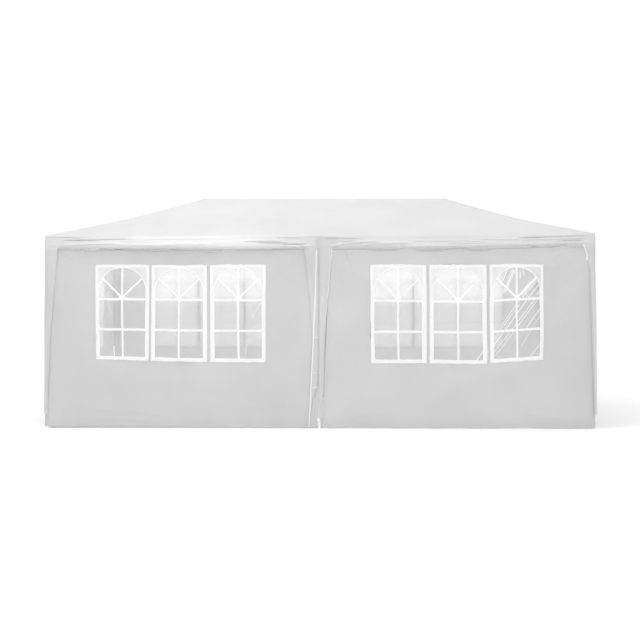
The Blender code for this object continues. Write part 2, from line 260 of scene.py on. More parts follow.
class Shader:
    """A material's node tree, built a node at a time."""

    def __init__(self, name):
        self.material = bpy.data.materials.new(name)
        self.material.use_nodes = True
        self.tree = self.material.node_tree
        self.principled = self.tree.nodes["Principled BSDF"]
        self.output = self.tree.nodes["Material Output"]
        self.place = self.add("ShaderNodeTexCoord").outputs["Object"]

    def add(self, kind, settings=None, **inputs):
        node = self.tree.nodes.new(kind)
        for key, value in (settings or {}).items():
            setattr(node, key, value)
        for key, value in inputs.items():
            self.put(node.inputs[key.replace("_", " ")], value)
        return node

    def put(self, socket, value):
        if isinstance(value, bpy.types.NodeSocket):
            self.tree.links.new(value, socket)
        else:
            socket.default_value = value

    def set(self, **values):
        for key, value in values.items():
            self.put(self.principled.inputs[key.replace("_", " ")], value)

    def math(self, operation, a, b=0.0):
        node = self.add("ShaderNodeMath", {"operation": operation})
        self.put(node.inputs[0], a)
        self.put(node.inputs[1], b)
        return node.outputs[0]

    def painted(self, name):
        """A value that the mesh holds at its points."""
        return self.add("ShaderNodeAttribute", {"attribute_name": name}).outputs["Fac"]

    def noise(self, scale, detail=2.0, roughness=0.5):
        made = self.add("ShaderNodeTexNoise", Vector=self.place, Scale=scale, Detail=detail,
                        Roughness=roughness)
        return made.outputs["Fac"]

    def wave(self, direction, scale):
        made = self.add("ShaderNodeTexWave", {"bands_direction": direction}, Vector=self.place, Scale=scale)
        return made.outputs["Fac"]

    def span(self, value, low, high):
        """Maps 0 to 1 onto low to high."""
        return self.add("ShaderNodeMapRange", Value=value, To_Min=low, To_Max=high).outputs[0]

    def grey(self, value):
        return self.add("ShaderNodeCombineColor", Red=value, Green=value, Blue=value).outputs[0]

    def mixed(self, share, one, other):
        """Shows a mix of two shaders, with the share of the other."""
        mix = self.add("ShaderNodeMixShader")
        for socket, value in zip(mix.inputs, (share, one, other)):
            self.put(socket, value)
        self.put(self.output.inputs["Surface"], mix.outputs[0])
        return mix.outputs[0]

    def through(self, colour, normal, share):
        """Lets a share of the light through the sheet."""
        light = self.add("ShaderNodeBsdfTranslucent", Color=colour, Normal=normal)
        return self.mixed(share, self.principled.outputs[0], light.outputs[0])

    def bump(self, height, distance, strength=1.0, under=None):
        made = self.add("ShaderNodeBump", Height=height, Distance=distance, Strength=strength)
        if under is not None:
            self.put(made.inputs["Normal"], under)
        return made.outputs[0]


def woven_sheet(name, tone, through, roughness, gloss=0.5):
    """Coated woven sheet: a fine weave, an uneven coating, painted shade near the ground and where the mesh
    holds it, light through it.
    """
    s = Shader(name)
    height = s.add("ShaderNodeSeparateXYZ", Vector=s.place).outputs["Z"]
    # Painted shade: darker towards the ground over the lowest 13 cm, for the shaded foot of the sheets
    painted_foot_shade = s.add("ShaderNodeMapRange", Value=height, From_Min=0.13, From_Max=0.02,
                   To_Max=-0.055 * tone).outputs[0]
    clear_of_leg_shade = s.math("ADD", s.span(s.noise(1.3, 3.0), tone * 0.905, tone * 1.095), painted_foot_shade)
    # Painted shade: the sheet is darkened where its mesh holds the leg shade, over the middle legs
    leg_shaded = s.math("SUBTRACT", clear_of_leg_shade, s.math("MULTIPLY", s.painted("soil"), 0.075))
    shade = s.grey(s.math("ADD", leg_shaded, s.span(s.noise(160.0, 2.0, 0.6), -0.012, 0.012)))
    weave = s.math("MULTIPLY", s.wave("X", 120.0), s.math("MULTIPLY", s.wave("Y", 120.0), s.wave("Z", 120.0)))
    crinkle = s.bump(s.noise(38.0, 3.0, 0.55), 0.0006, 0.6)
    normal = s.bump(weave, 0.0002, 0.5, crinkle)
    s.set(Base_Color=shade, Roughness=s.span(s.noise(9.0, 4.0), roughness - 0.045, roughness + 0.045))
    s.set(Normal=normal, IOR=1.54, Specular_IOR_Level=gloss)
    s.through(shade, normal, through)
    return s.material


def clear_film(name):
    """Soft clear film: a milky haze that lets light through, whitened where creased with stress-whitening and
    painted highlights, whitened over the front arches as painted light, and dusty in places.
    """
    s = Shader(name)
    crease, dust = s.painted("crease"), s.painted("dust")
    haze = s.math("ADD", s.span(s.noise(2.2, 5.0, 0.6), 0.375, 0.50), s.math("MULTIPLY", dust, 0.06))
    # crease holds the creases' whitening, partly painted highlights, and the arches' veil of painted light
    cover = s.math("MINIMUM", s.math("ADD", haze, crease), 1.0)
    tone = s.math("SUBTRACT", s.span(s.noise(6.0, 3.0), 0.92, 0.97), s.math("MULTIPLY", dust, 0.16))
    shade = s.grey(s.math("MAXIMUM", tone, s.math("MULTIPLY", crease, 0.97)))
    normal = s.bump(s.noise(14.0, 4.0, 0.6), 0.004, 0.7)
    s.set(Base_Color=shade, Roughness=s.span(s.noise(24.0, 3.0), 0.05, 0.16), IOR=1.5, Normal=normal)
    milk = s.through(shade, normal, s.span(crease, 0.42, 0.05))
    clear = s.add("ShaderNodeBsdfTransparent", Color=s.grey(s.span(dust, 0.995, 0.76)))
    s.mixed(cover, clear.outputs[0], milk)
    return s.material


def printed_vinyl(name):
    """The white print on the films. Some light comes through it, and more where it is thin."""
    s = Shader(name)
    thin = s.painted("thin")
    shade = s.grey(s.span(s.noise(5.0, 3.0), 0.95, 0.985))
    normal = s.bump(s.noise(45.0, 3.0), 0.0008, 0.6)
    s.set(Base_Color=shade, Roughness=s.span(s.noise(30.0, 3.0), 0.28, 0.42), Normal=normal)
    ink = s.through(shade, normal, s.span(thin, 0.33, 0.60))
    clear = s.add("ShaderNodeBsdfTransparent")
    s.mixed(s.span(thin, 1.0, 0.78), clear.outputs[0], ink)
    return s.material


def plain(name, tone, mottle, **settings):
    """A plain grey finish whose tone drifts between two values. mottle is the noise's scale and detail."""
    s = Shader(name)
    s.set(Base_Color=s.grey(s.span(s.noise(*mottle), *tone)), **settings)
    return s


def powder_coat(name):
    """White powder coat: a fine orange peel over the tube, a little duller in patches."""
    s = plain(name, (0.86, 0.93), (7.0, 4.0), Coat_Weight=0.15, Coat_Roughness=0.2)
    s.set(Roughness=s.span(s.noise(18.0, 3.0), 0.30, 0.42), Normal=s.bump(s.noise(520.0, 1.0), 0.00015, 0.5))
    return s.material


def moulded_plastic(name):
    """White moulded plastic with a fine matt grain."""
    s = plain(name, (0.75, 0.81), (12.0, 3.0))
    s.set(Roughness=s.span(s.noise(40.0, 2.0), 0.42, 0.55), Normal=s.bump(s.noise(900.0, 1.0), 0.0001, 0.6))
    return s.material


def braided_cord(name):
    """White cord with the slanting ridges of its braid."""
    s = plain(name, (0.90, 0.97), (60.0, 3.0), Roughness=0.75, Sheen_Weight=0.2)
    s.set(Normal=s.bump(s.math("MULTIPLY", s.wave("DIAGONAL", 150.0), s.wave("Z", 90.0)), 0.0006, 0.8))
    return s.material


def bright_metal(name):
    """Zinc-plated eyelets and sliders."""
    s = plain(name, (0.55, 0.72), (80.0, 3.0), Metallic=1.0)
    s.set(Roughness=s.span(s.noise(120.0, 2.0), 0.22, 0.38))
    return s.material


def pale_floor(name):
    """The plain floor of the studio."""
    return plain(name, (0.95, 0.96), (0.6, 2.0), Roughness=0.85).material


MATERIALS = {
    "cover": woven_sheet("roof_sheet", 0.768, 0.39, 0.33, 0.85),
    "wall": woven_sheet("wall_sheet", 0.668, 0.37, 0.46),
    "hem": woven_sheet("white_webbing", 0.89, 0.05, 0.50),
    "film": clear_film("window_film"),
    "print": printed_vinyl("printed_vinyl"),
    "steel": powder_coat("powder_coated_steel"),
    "plastic": moulded_plastic("moulded_plastic"),
    "cord": braided_cord("tie_cord"),
    "metal": bright_metal("plated_metal"),
    "floor": pale_floor("studio_floor"),
}


# Meshes

def placed(data):
    """An object of the scene that shows a mesh, lamp or camera."""
    made = bpy.data.objects.new(data.name, data)
    bpy.context.scene.collection.objects.link(made)
    return made


def dressed(made, material, replaced=()):
    """Smooths a piece, gives it its material and slot, and has it ride on the tent."""
    made.data.shade_smooth()
    made.data.materials.clear()
    made.data.materials.append(MATERIALS[material])
    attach(made, "root")
    if replaced:
        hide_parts(*replaced)
    return made


def paint(mesh, name, values):
    """Holds a value at each point of a mesh, for its material."""
    mesh.attributes.new(name, "FLOAT", "POINT").data.foreach_set("value", values.astype(np.float32))


class Patchwork:
    """Points and faces gathered from several grids into one mesh."""

    def __init__(self):
        self.points = []
        self.faces = []
        self.values = []
        self.count = 0

    def grid(self, points, keep=None, value=None):
        """Adds a grid of points with the shape rows, columns, 3. keep says which of its cells stay."""
        rows, columns = points.shape[:2]
        index = np.arange(rows * columns).reshape(rows, columns) + self.count
        quads = np.stack((index[:-1, :-1], index[1:, :-1], index[1:, 1:], index[:-1, 1:]), axis=-1)
        self.faces.append(quads.reshape(-1, 4) if keep is None else quads[keep])
        self.points.append(points.reshape(-1, 3))
        self.values.append(np.zeros(rows * columns) if value is None else value.reshape(-1))
        self.count += rows * columns

    def mesh(self, name):
        made = bpy.data.meshes.new(name)
        made.from_pydata(np.concatenate(self.points).tolist(), [], np.concatenate(self.faces).tolist())
        return made

    def build(self, name, material, weld=None, attribute=None):
        """Makes a piece of the tent, with points that coincide welded."""
        mesh = self.mesh(name)
        if attribute:
            paint(mesh, attribute, np.concatenate(self.values))
        made = placed(mesh)
        if weld:
            made.modifiers.new("weld", "WELD").merge_threshold = weld
            graph = bpy.context.evaluated_depsgraph_get()
            made.data = bpy.data.meshes.new_from_object(made.evaluated_get(graph))
            made.modifiers.clear()
        made.data.name = name
        return dressed(made, material)


# A direction that no line keeps to, from which a tube's ring of points starts
ASKEW = (0.31, 0.77, 0.55)


def tube_path(points, radius, sides=8, guide=ASKEW, closed=False):
    """A grid of points round a line, for a cord or a rolled hem. guide is square to the line, or nearly."""
    line = np.asarray(points, float)
    if closed:
        line = np.concatenate((line, line[:1]))
        ahead = np.roll(line[:-1], -1, axis=0) - np.roll(line[:-1], 1, axis=0)
        ahead = np.concatenate((ahead, ahead[:1]))
    else:
        ahead = np.gradient(line, axis=0)
    ahead /= np.linalg.norm(ahead, axis=1, keepdims=True)
    side = np.cross(ahead, np.array(guide, float))
    side /= np.linalg.norm(side, axis=1, keepdims=True)
    other = np.cross(side, ahead)
    angles = np.linspace(0, TURN, sides + 1)[:, None]
    ring = side[:, None] * np.cos(angles) + other[:, None] * np.sin(angles)
    return line[:, None] + ring * np.broadcast_to(radius, len(line))[:, None, None]


def capped_tube(points, radius, sides=8, guide=ASKEW):
    """The same, closed at both ends: its first and last rings shrink to a point."""
    line = np.asarray(points, float)
    radii = np.broadcast_to(radius, len(line)).copy()
    line = np.concatenate((line[:1], line, line[-1:]))
    line[0] -= (line[2] - line[1]) * 1e-3
    line[-1] += (line[-2] - line[-3]) * 1e-3
    return tube_path(line, np.concatenate(([1e-5], radii, [1e-5])), sides, guide)


def squared(x, power=0.6):
    """A sine or cosine pushed outwards, which makes a ring of points squarer."""
    return np.sign(x) * np.abs(x) ** power


def ribbon(line, across, width, thick, sides=12):
    """A flat tape along a line, with rounded edges. across is the tape's width direction at each point."""
    line = np.asarray(line, float)
    ahead = np.gradient(line, axis=0)
    ahead /= np.linalg.norm(ahead, axis=1, keepdims=True)
    across = np.broadcast_to(np.array(across, float), line.shape)
    face = np.cross(ahead, across)
    face /= np.linalg.norm(face, axis=1, keepdims=True)
    a = np.linspace(0, TURN, sides + 1)[:, None]
    u = squared(np.cos(a), 0.35) * width / 2
    v = squared(np.sin(a)) * thick / 2
    points = line[:, None] + across[:, None] * u + face[:, None] * v
    ends = [np.broadcast_to(p, points[0].shape)[None] for p in (line[0], line[-1])]
    return np.concatenate((ends[0], points, ends[1]))


# The cover: the roof, its soft bend over the eaves, the valance and the drapes, as one sheet

class Side:
    """One side of the tent as seen from outside: t runs to the right along it, q outwards from the centre."""

    def __init__(self, name, normal, half, depth):
        self.name = name
        self.out = np.array((*normal, 0.0), float)
        self.ahead = np.array((-normal[1], normal[0], 0.0), float)
        self.half = half
        self.depth = depth
        self.long = half > depth

    def points(self, t, q, z):
        """World points from distances along the side, outwards and up."""
        t, q, z = (v[..., None] for v in np.broadcast_arrays(t, q, z))
        return t * self.ahead + q * self.out + z * UP

    def rounded(self, t, inset, z, out, radius):
        """The same for the cover, whose corners are rounded to a radius. out is along the rounded normal."""
        t, inset, z, out, radius = np.broadcast_arrays(t, inset, z, out, radius)
        reach = self.half - inset
        gap = np.clip(reach - np.abs(t), 0, None)
        radius = np.maximum(radius, NEAR)
        turn = np.clip(1 - gap / radius, 0, 1) * math.pi / 4
        inside = gap < radius
        edge = np.where(inside, reach - radius + radius * np.sin(turn), np.abs(t))
        q = self.depth - inset - np.where(inside, radius * (1 - np.cos(turn)), 0)
        return self.points(np.sign(t) * (edge + out * np.sin(turn)), q + out * np.cos(turn), z)


SIDES = {
    "front": Side("front", (0, -1), HALF_LENGTH, HALF_WIDTH),
    "right": Side("right", (1, 0), HALF_WIDTH, HALF_LENGTH),
    "back": Side("back", (0, 1), HALF_LENGTH, HALF_WIDTH),
    "left": Side("left", (-1, 0), HALF_WIDTH, HALF_LENGTH),
}

# The cover's rolled hems: their radius, and how far they stand off the edge
VALANCE_HEM = (0.0022, 0.0003)
CORNER_HEM = (0.0020, 0.0003)
FLAP_HEM = (0.0025, 0.001)
# The right flap's upper hem, in the brighter webbing white as a painted highlight where it catches the light
PAINTED_HIGHLIGHT_HEM = (0.0028, 0.002)
FLAP_SEEDS = (0.15, 0.6)

# Painted shade on the cover over a middle leg, where the valance hangs flat and darker: its middle and half
# width, and how much of it the left flap is spared
PAINTED_SHADE_AT = 0.08
PAINTED_SHADE_HALF = 0.15
FLAP_SPARED_SHADE = 0.85

# The valance's lower edge: the front's by distance along it and height, and elsewhere a level with waves
FRONT_HEM = (
    (-3.00, 1.967), (-2.80, 1.968), (-2.55, 1.963), (-2.10, 1.957), (-1.85, 1.958), (-1.62, 1.961),
    (-1.50, 1.954), (-1.20, 1.951), (-0.75, 1.953), (-0.55, 1.960), (-0.30, 1.966), (0.15, 1.966),
    (0.55, 1.967), (1.20, 1.964), (1.60, 1.966), (1.90, 1.978), (2.30, 1.987), (2.65, 1.998),
    (2.86, 1.998), (3.00, 1.995),
)
HEM_LEVEL = 1.962

# The valance's tension folds: the share of the bay and the height where each starts and ends, its bow, its
# push outwards and its width
VALANCE_FOLDS = {
    "front_left": (
        ((0.01, 2.086), (0.15, 2.076), 0.001, 0.010, 0.010),
        ((0.06, 2.052), (0.175, 2.058), 0.001, 0.011, 0.010),
        ((0.14, 2.064), (0.34, 2.066), 0.001, 0.006, 0.010),
        ((0.08, 2.038), (0.22, 2.044), 0.001, -0.012, 0.005),
        ((0.20, 2.050), (0.31, 2.054), 0.001, -0.008, 0.005),
        ((0.04, 1.988), (0.29, 2.010), 0.004, 0.010, 0.014),
        ((0.25, 2.000), (0.42, 1.992), -0.002, 0.005, 0.014),
        ((0.40, 1.992), (0.62, 1.998), 0.003, 0.005, 0.014),
        ((0.34, 2.060), (0.72, 2.064), 0.002, 0.0030, 0.010),
        ((0.72, 2.034), (0.88, 2.040), 0.001, 0.012, 0.010),
        ((0.76, 2.014), (0.90, 2.012), 0.001, -0.012, 0.005),
        ((0.78, 2.022), (0.89, 2.026), 0.001, 0.009, 0.008),
        ((0.84, 2.084), (0.94, 2.078), 0.001, 0.011, 0.010),
        ((0.86, 2.000), (0.95, 1.996), 0.001, -0.016, 0.005),
        ((0.88, 1.974), (0.97, 1.981), 0.001, 0.012, 0.010),
        ((0.88, 2.012), (0.96, 2.018), 0.001, 0.008, 0.008),
    ),
    "front_right": (
        ((0.01, 2.079), (0.15, 2.071), 0.001, 0.012, 0.009),
        ((0.035, 1.960), (0.10, 2.010), 0.006, 0.014, 0.010),
        ((0.07, 2.000), (0.23, 2.038), 0.004, 0.013, 0.012),
        ((0.06, 2.026), (0.17, 2.024), 0.001, -0.010, 0.005),
        ((0.16, 2.012), (0.34, 2.014), 0.001, 0.015, 0.012),
        ((0.08, 1.980), (0.30, 1.990), 0.001, -0.008, 0.006),
        ((0.30, 2.040), (0.62, 2.036), 0.002, 0.009, 0.010),
        ((0.44, 2.016), (0.74, 2.014), 0.001, 0.008, 0.012),
        ((0.70, 2.066), (0.99, 2.073), 0.001, -0.016, 0.006),
        ((0.72, 2.050), (0.985, 2.056), 0.001, 0.013, 0.010),
        ((0.86, 2.029), (0.96, 2.031), 0.001, -0.012, 0.005),
        ((0.86, 2.012), (0.97, 2.015), 0.001, 0.011, 0.010),
        ((0.60, 2.086), (0.86, 2.094), 0.001, 0.007, 0.010),
        ((0.56, 2.056), (0.76, 2.050), 0.002, 0.008, 0.010),
    ),
}


def bay_folds(side, bay):
    """The folds of a bay: the front's own, and elsewhere the same kind in another order."""
    own = VALANCE_FOLDS.get(f"{side.name}_{bay}")
    if own:
        return own
    draw = random.Random(f"{side.name} {bay}")
    folds = []
    for start, end, bow, push, width in VALANCE_FOLDS[draw.choice(("front_left", "front_right"))]:
        shift = draw.uniform(-0.012, 0.012)
        low, high = ((1 - share, height + shift) for share, height in (start, end))
        folds.append((high, low, bow, push * draw.uniform(0.7, 1.1), width))
    return folds


def bays(side):
    """Each bay's name, where it starts along the side and how long it is."""
    if side.long:
        return (("left", -BAY, BAY), ("right", 0.0, BAY))
    return (("only", -side.half, 2 * side.half),)


def slack(side, t):
    """0 at the legs and 1 midway between them."""
    shares = [np.clip((t - start) / length, 0, 1) for _, start, length in bays(side)]
    return np.max([np.sin(math.pi * share) ** 0.8 for share in shares], axis=0)


def pillow(side, t):
    """How far the pillow stands out along a side, and the share of it that the lower edge gives back."""
    crest, turned = np.zeros_like(t), np.zeros_like(t)
    for bay, start, length in bays(side):
        reach, back = PILLOWS.get(f"{side.name}_{bay}", PILLOW)
        share = np.clip((t - start) / length, 0, 1)
        crest = np.maximum(crest, reach * np.sin(math.pi * share) ** 0.6)
        turned = np.where((t >= start) & (t <= start + length), back, turned)
    return crest, turned


def valance_push(side, t, z, height):
    """How far the valance stands out at a share of its height: the pillow, and the tension folds."""
    lean = height / CREST
    rise = lean - CREST_ROUND * np.log1p(np.exp((lean - 1) / CREST_ROUND))
    crest, turned = pillow(side, t)
    push = crest * rise * (1 - turned * smooth((height - CREST) / (1 - CREST)))
    ease = smooth(height / 0.08)
    for bay, start, length in bays(side):
        share = (t - start) / length
        for low, high, bow, out, width in bay_folds(side, bay):
            ends = ((low[0] * length, low[1]), (high[0] * length, high[1]))
            near = stroke(share * length, z, *ends, width, bow, under=0.33, ease=0.2)
            push = push + out * near * ease * ((share >= 0) & (share <= 1))
    return push + 0.0016 * waves(t, z * 3, side.name, 0.35) * ease * slack(side, t)


def valance_hem(side, t):
    """The height of the valance's lower edge. The picture's front edge climbs to the right."""
    if side.name == "front":
        return table_at(FRONT_HEM, t)
    left = FRONT_HEM[-1][1] if side.name == "right" else HEM_LEVEL
    right = FRONT_HEM[0][1] if side.name == "left" else HEM_LEVEL
    climb = (right - left) * (t / side.half + 1) / 2
    return left + climb + 0.004 * waves(t, t * 0, side.name + "hem", 1.1) * slack(side, t)


def corner_lift(side, t, inset):
    """The front right corner sits a little high, as the picture shows it."""
    corner = {"front": side.half, "right": -side.half}.get(side.name)
    if corner is None:
        return 0.0
    return CORNER_LIFT * smooth(1 - np.hypot(t - corner, inset) / LIFT_REACH)


def roof_height(side, t, inset):
    """The height of the roof's sheet, inset from the eaves."""
    share = inset / HALF_WIDTH
    across = np.abs(t) / side.half
    dip = HIP_DIP * (1 - np.abs(2 * share - 1) ** 1.5)
    if side.long:
        sag = SHEET_SAG * 16 * share * (1 - share) * across * (1 - across)
        dip = dip * across ** 1.5
    else:
        sag = SHEET_SAG * 4 * share * (1 - share) * (1 - across ** 2)
    return EAVE + RISE * share - dip - sag + corner_lift(side, t, inset)


def marks(side):
    """Distances along a side at which the cover has points: its stops, and cells between them."""
    edge = side.half - CORNER_TOP
    stops = [(-edge, 16), (edge, 128), (side.half, 16)]
    if side.long:
        stops[1:1] = [(LEFT_FLAP[-1][1], 128), (LEFT_FLAP[-1][2], 16),
                      (RIGHT_FLAP[-1][1], 2), (RIGHT_FLAP[-1][2], 18)]
    values = [-side.half]
    for stop, cells in stops:
        values.extend(np.linspace(values[-1], stop, cells + 1)[1:])
    return np.array(values)


def cover_side(side):
    """One side of the cover: its points' places, its lower edge, that edge's push, and its rows."""
    t = marks(side)
    foot = valance_hem(side, t)
    bend = BEND_TIGHT + BEND_SLACK * slack(side, t)
    centre = EAVE + bend * (math.tan(PITCH) - 1 / math.cos(PITCH))
    lean = np.arctan(pillow(side, t)[0] / CREST / (centre + 0.3 * bend - foot))
    head = centre + bend * np.tan(lean / 2)
    first = bend * (1 - math.sin(PITCH))
    rows = []
    for share in np.linspace(1, 0, ROOF_ROWS)[:-1] ** ROOF_ROWS_EASE:
        inset = first + (HALF_WIDTH - first) * share
        along = t * (side.half - inset) / side.half
        rows.append(side.rounded(along, inset, roof_height(side, t, inset), 0.0, 0.0))
    slip = EAVE + first * math.tan(PITCH) - roof_height(side, t, first)
    for step in np.linspace(0, 1, BEND_ROWS):
        angle = PITCH + (math.pi / 2 - lean - PITCH) * step
        inset = bend * (1 - np.sin(angle))
        height = centre + bend * np.cos(angle) - slip * (1 - step) + corner_lift(side, t, 0.0) * step
        along = t * (side.half - inset) / side.half
        rows.append(side.rounded(along, inset, height, 0.0, CORNER_ROUND * smooth(step)))
    start = centre + bend * np.sin(lean)
    for step in np.linspace(0, 1, VALANCE_ROWS)[1:]:
        height = start + (foot - start) * step
        out = valance_push(side, t, height, (head - height) / (head - foot))
        rows.append(side.rounded(t, 0.0, height + corner_lift(side, t, 0.0) * (1 - step), out, CORNER_ROUND))
    return t, foot, valance_push(side, t, foot, 1.0), np.array(rows)


def ripples(share, z, table, sway_turn, phase):
    """A drape's folds, outwards: waves across it that sway sideways down it."""
    total = 0.0
    for k, (height, count, sway, pitch) in enumerate(table):
        swayed = count * share + sway * np.sin(pitch * z + (0.0 if k else sway_turn))
        total = total + height * np.sin(TURN * swayed + (k + 1) * phase)
    return total


def middle_flap(side, t, hem, push, table, seed):
    """One flap of a middle drape, hanging from the valance at the points t."""
    share = (t - t[0]) / (t[-1] - t[0])
    rows = []
    for step in np.linspace(0, 1, DRAPE_ROWS):
        z = hem + (table[0][0] - hem) * step
        left = table_at(table, z, 1)
        right = table_at(table, z, 2)
        narrow = (right - left) / (table[-1][2] - table[-1][1])
        folds = ripples(share, z, FLAP_RIPPLES, 0.0, TURN * seed) * narrow ** 1.2
        folds = folds + 0.0010 * waves(share * 0.05, z, f"flap {seed}", 0.5) + DRAPE_STAND
        out = push + (folds - push) * smooth(step / DRAPE_EASE)
        rows.append(side.rounded(left + (right - left) * share, 0.0, z, out, 0.0))
    return np.array(rows)


def corner_flap(ends, seed):
    """A corner drape: the flap on one side, then round the corner the flap on the next."""
    rows = []
    for step in np.linspace(0, 1, DRAPE_ROWS):
        row = []
        for sign, (side, t, hem, push) in zip((1, -1), ends):
            z = hem + (CORNER_FOOT - hem) * step
            width = table_at(FRONT_RIGHT_WIDTHS if side.name == "front" and sign > 0 else CORNER_WIDTHS, z)
            across = (side.half - np.abs(t)) / CORNER_TOP
            folds = ripples(sign * across, z, CORNER_RIPPLES, seed, seed) + DRAPE_STAND
            bulge = FRONT_RIGHT_BULGE if ends[0][0].name == "front" else CORNER_BULGE
            out = push + (folds - push) * smooth(step / DRAPE_EASE) + bulge * smooth((step - 0.02) / 0.4)
            row.append(side.rounded(np.sign(t) * (side.half - across * width), 0.0, z, out, CORNER_ROUND))
        rows.append(np.concatenate((row[0], row[1][1:])))
    return np.array(rows)


def rolled(line, side, hem):
    """A rolled hem along an edge of the cover: a tube a little outside it."""
    radius, lift = hem
    return tube_path(line + side.out * lift, radius, guide=side.out)


def soil(side, points):
    """How much shade is painted on the cover: over a long side's middle leg, from the eave down, least on the
    left flap.
    """
    if not side.long:
        return np.zeros(points.shape[:2])
    t = points @ side.ahead
    drop = EAVE + 0.01 - points[..., 2]
    clear_of_leg_shade = FLAP_SPARED_SHADE * smooth((drop - 0.12) / 0.06) * (t < -0.003)
    return smooth((PAINTED_SHADE_HALF - np.abs(t - PAINTED_SHADE_AT)) / 0.06) * smooth(drop / 0.05) * (1 - clear_of_leg_shade)


def build_cover():
    """The cover as one sheet, its rolled hems, and the bands on its middle drapes: the webbing, and a hem in
    the webbing's white as a painted highlight.
    """
    cover, hems, bands = Patchwork(), Patchwork(), Patchwork()
    order = list(SIDES.values())
    made = [cover_side(side) for side in order]
    for side, (t, _, _, rows) in zip(order, made):
        cover.grid(rows, value=soil(side, rows))
        for start, end in free_hems(side):
            hems.grid(rolled(rows[-1][between(t, start, end)], side, VALANCE_HEM))
    for i, side in enumerate(order):
        ends = []
        for sign, k in ((1, i), (-1, (i + 1) % 4)):
            t, hem, push, _ = made[k]
            near = sign * t >= order[k].half - CORNER_TOP - NEAR
            ends.append((order[k], t[near], hem[near], push[near]))
        drape = corner_flap(ends, 1.3 * i)
        cover.grid(drape)
        for column, (place, *_) in zip((0, -1), ends):
            hems.grid(rolled(drape[:, column], place, CORNER_HEM))
        if side.long:
            middle_drape(side, made[i], 0.1 * i, cover, hems, bands)
    piece = cover.build("roof_cover", "cover", weld=COVER_WELD, attribute="soil")
    nodes = [name for name in frame["nodes"] if name.startswith(("roof_panel_", "valance_", "leg_drape_"))]
    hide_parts(*nodes)
    return piece, hems.build("cover_hems", "cover"), bands.build("leg_webbing", "hem", weld=WELD)


def middle_drape(side, made, seed, cover, hems, bands):
    """Adds a middle leg's two flaps, their hems, the left one's webbing and the right one's upper hem, made
    in the brighter webbing white as a painted highlight.
    """
    t, hem, push, _ = made
    for table, own in zip((LEFT_FLAP, RIGHT_FLAP), FLAP_SEEDS):
        chosen = between(t, table[-1][1], table[-1][2])
        drape = middle_flap(side, t[chosen], hem[chosen], push[chosen], table, own + seed)
        cover.grid(drape, value=soil(side, drape))
        # Painted highlight: the right flap's upper hem is made in the brighter webbing white
        light = PAINTED_HIGHLIGHT_HEM_ROWS if table is RIGHT_FLAP else 0
        hems.grid(rolled(drape[:, 0], side, FLAP_HEM))
        hems.grid(rolled(drape[light:, -1], side, FLAP_HEM))
        if light:
            bands.grid(rolled(drape[:light, -1], side, PAINTED_HIGHLIGHT_HEM))
        else:
            bands.grid(webbing(side, drape, own + seed))


def webbing(side, drape, seed):
    """The white webbing sewn down the left flap of a middle drape, that goes on to the ground."""
    z = np.linspace(WEBBING[0][0], WEBBING[-1][0], 120)
    t = table_at(WEBBING, z)
    down = drape[::-1]
    out, along = down @ side.out, down @ side.ahead
    deep = []
    for place, height in zip(t, z):
        levels = [[np.interp(height, down[:, 0, 2], column) for column in grid.T] for grid in (along, out)]
        deep.append(np.interp(place, *levels))
    line = side.points(t + 0.0012 * waves(z, z * 0, f"webbing {seed}", 0.3), np.array(deep) + 0.0022, z)
    return ribbon(line, side.ahead, WEBBING_WIDTH, WEBBING_THICK)


def free_hems(side):
    """The stretches of the valance's edge with no drape under them."""
    edge = side.half - CORNER_TOP
    if side.long:
        return ((-edge, LEFT_FLAP[-1][1]), (RIGHT_FLAP[-1][2], edge))
    return ((-edge, edge),)


cover, cover_hems, webbings = build_cover()


# The walls: sheets with window or door openings, wavy edges, hems and folds, and the films and prints in them

# The hems round a wall's sheet, and the cord in its top hem
HEM = 0.026
HEM_STEP = 0.0015
HEM_RAISE = 0.0009
TOP_HEM_R = 0.0030
TOP_HEM_DROP = 0.0015
TOP_HEM_LIFT = 0.0008

# Where the walls' sheets lie, from the tent's sides outwards, and where they start and end along them
PLANE = -0.0050
SPLIT = 0.0195
LAST = 2.9924
END_LAST = 1.4962

# The doorway, cut through the sheet's lower edge
DOOR_HALF = 0.65
DOOR_HEIGHT = 1.75
UNDER_GROUND = -1.0

# The sizes of a wall's cells: on the front, and elsewhere
SHEET_CELLS = (0.014, 0.020)
FILM_CELLS = (0.017, 0.024)
TOP_HEM_CELLS = 0.010

# The front walls' own edges, by distance along the front and height: tight at the ties, hanging between
FRONT_TOPS = {
    "left": ((-2.99, 1.945), (-2.61, 1.943), (-2.58, 1.968), (-2.55, 1.932), (-2.43, 1.931), (-2.41, 1.944),
             (-2.12, 1.942), (-2.07, 1.931), (-1.95, 1.931), (-1.93, 1.960), (-1.91, 1.926), (-1.65, 1.926),
             (-1.61, 1.962), (-1.58, 1.938), (-1.42, 1.938), (-1.29, 1.928), (-1.21, 1.914), (-1.10, 1.914),
             (-1.05, 1.960), (-0.94, 1.960), (-0.90, 1.941), (-0.70, 1.935), (-0.56, 1.935), (-0.50, 1.948),
             (-0.15, 1.951), (-0.02, 1.955)),
    "right": ((0.02, 1.948), (0.52, 1.950), (0.56, 1.932), (0.70, 1.931), (0.76, 1.938), (0.86, 1.940),
              (0.89, 1.970), (1.00, 1.970), (1.08, 1.930), (1.33, 1.926), (1.37, 1.946), (1.50, 1.955),
              (1.58, 1.970), (1.66, 1.930), (1.80, 1.929), (1.90, 1.957), (2.24, 1.958), (2.30, 1.968),
              (2.58, 1.973), (2.65, 2.000), (2.70, 1.974), (2.99, 1.972)),
}
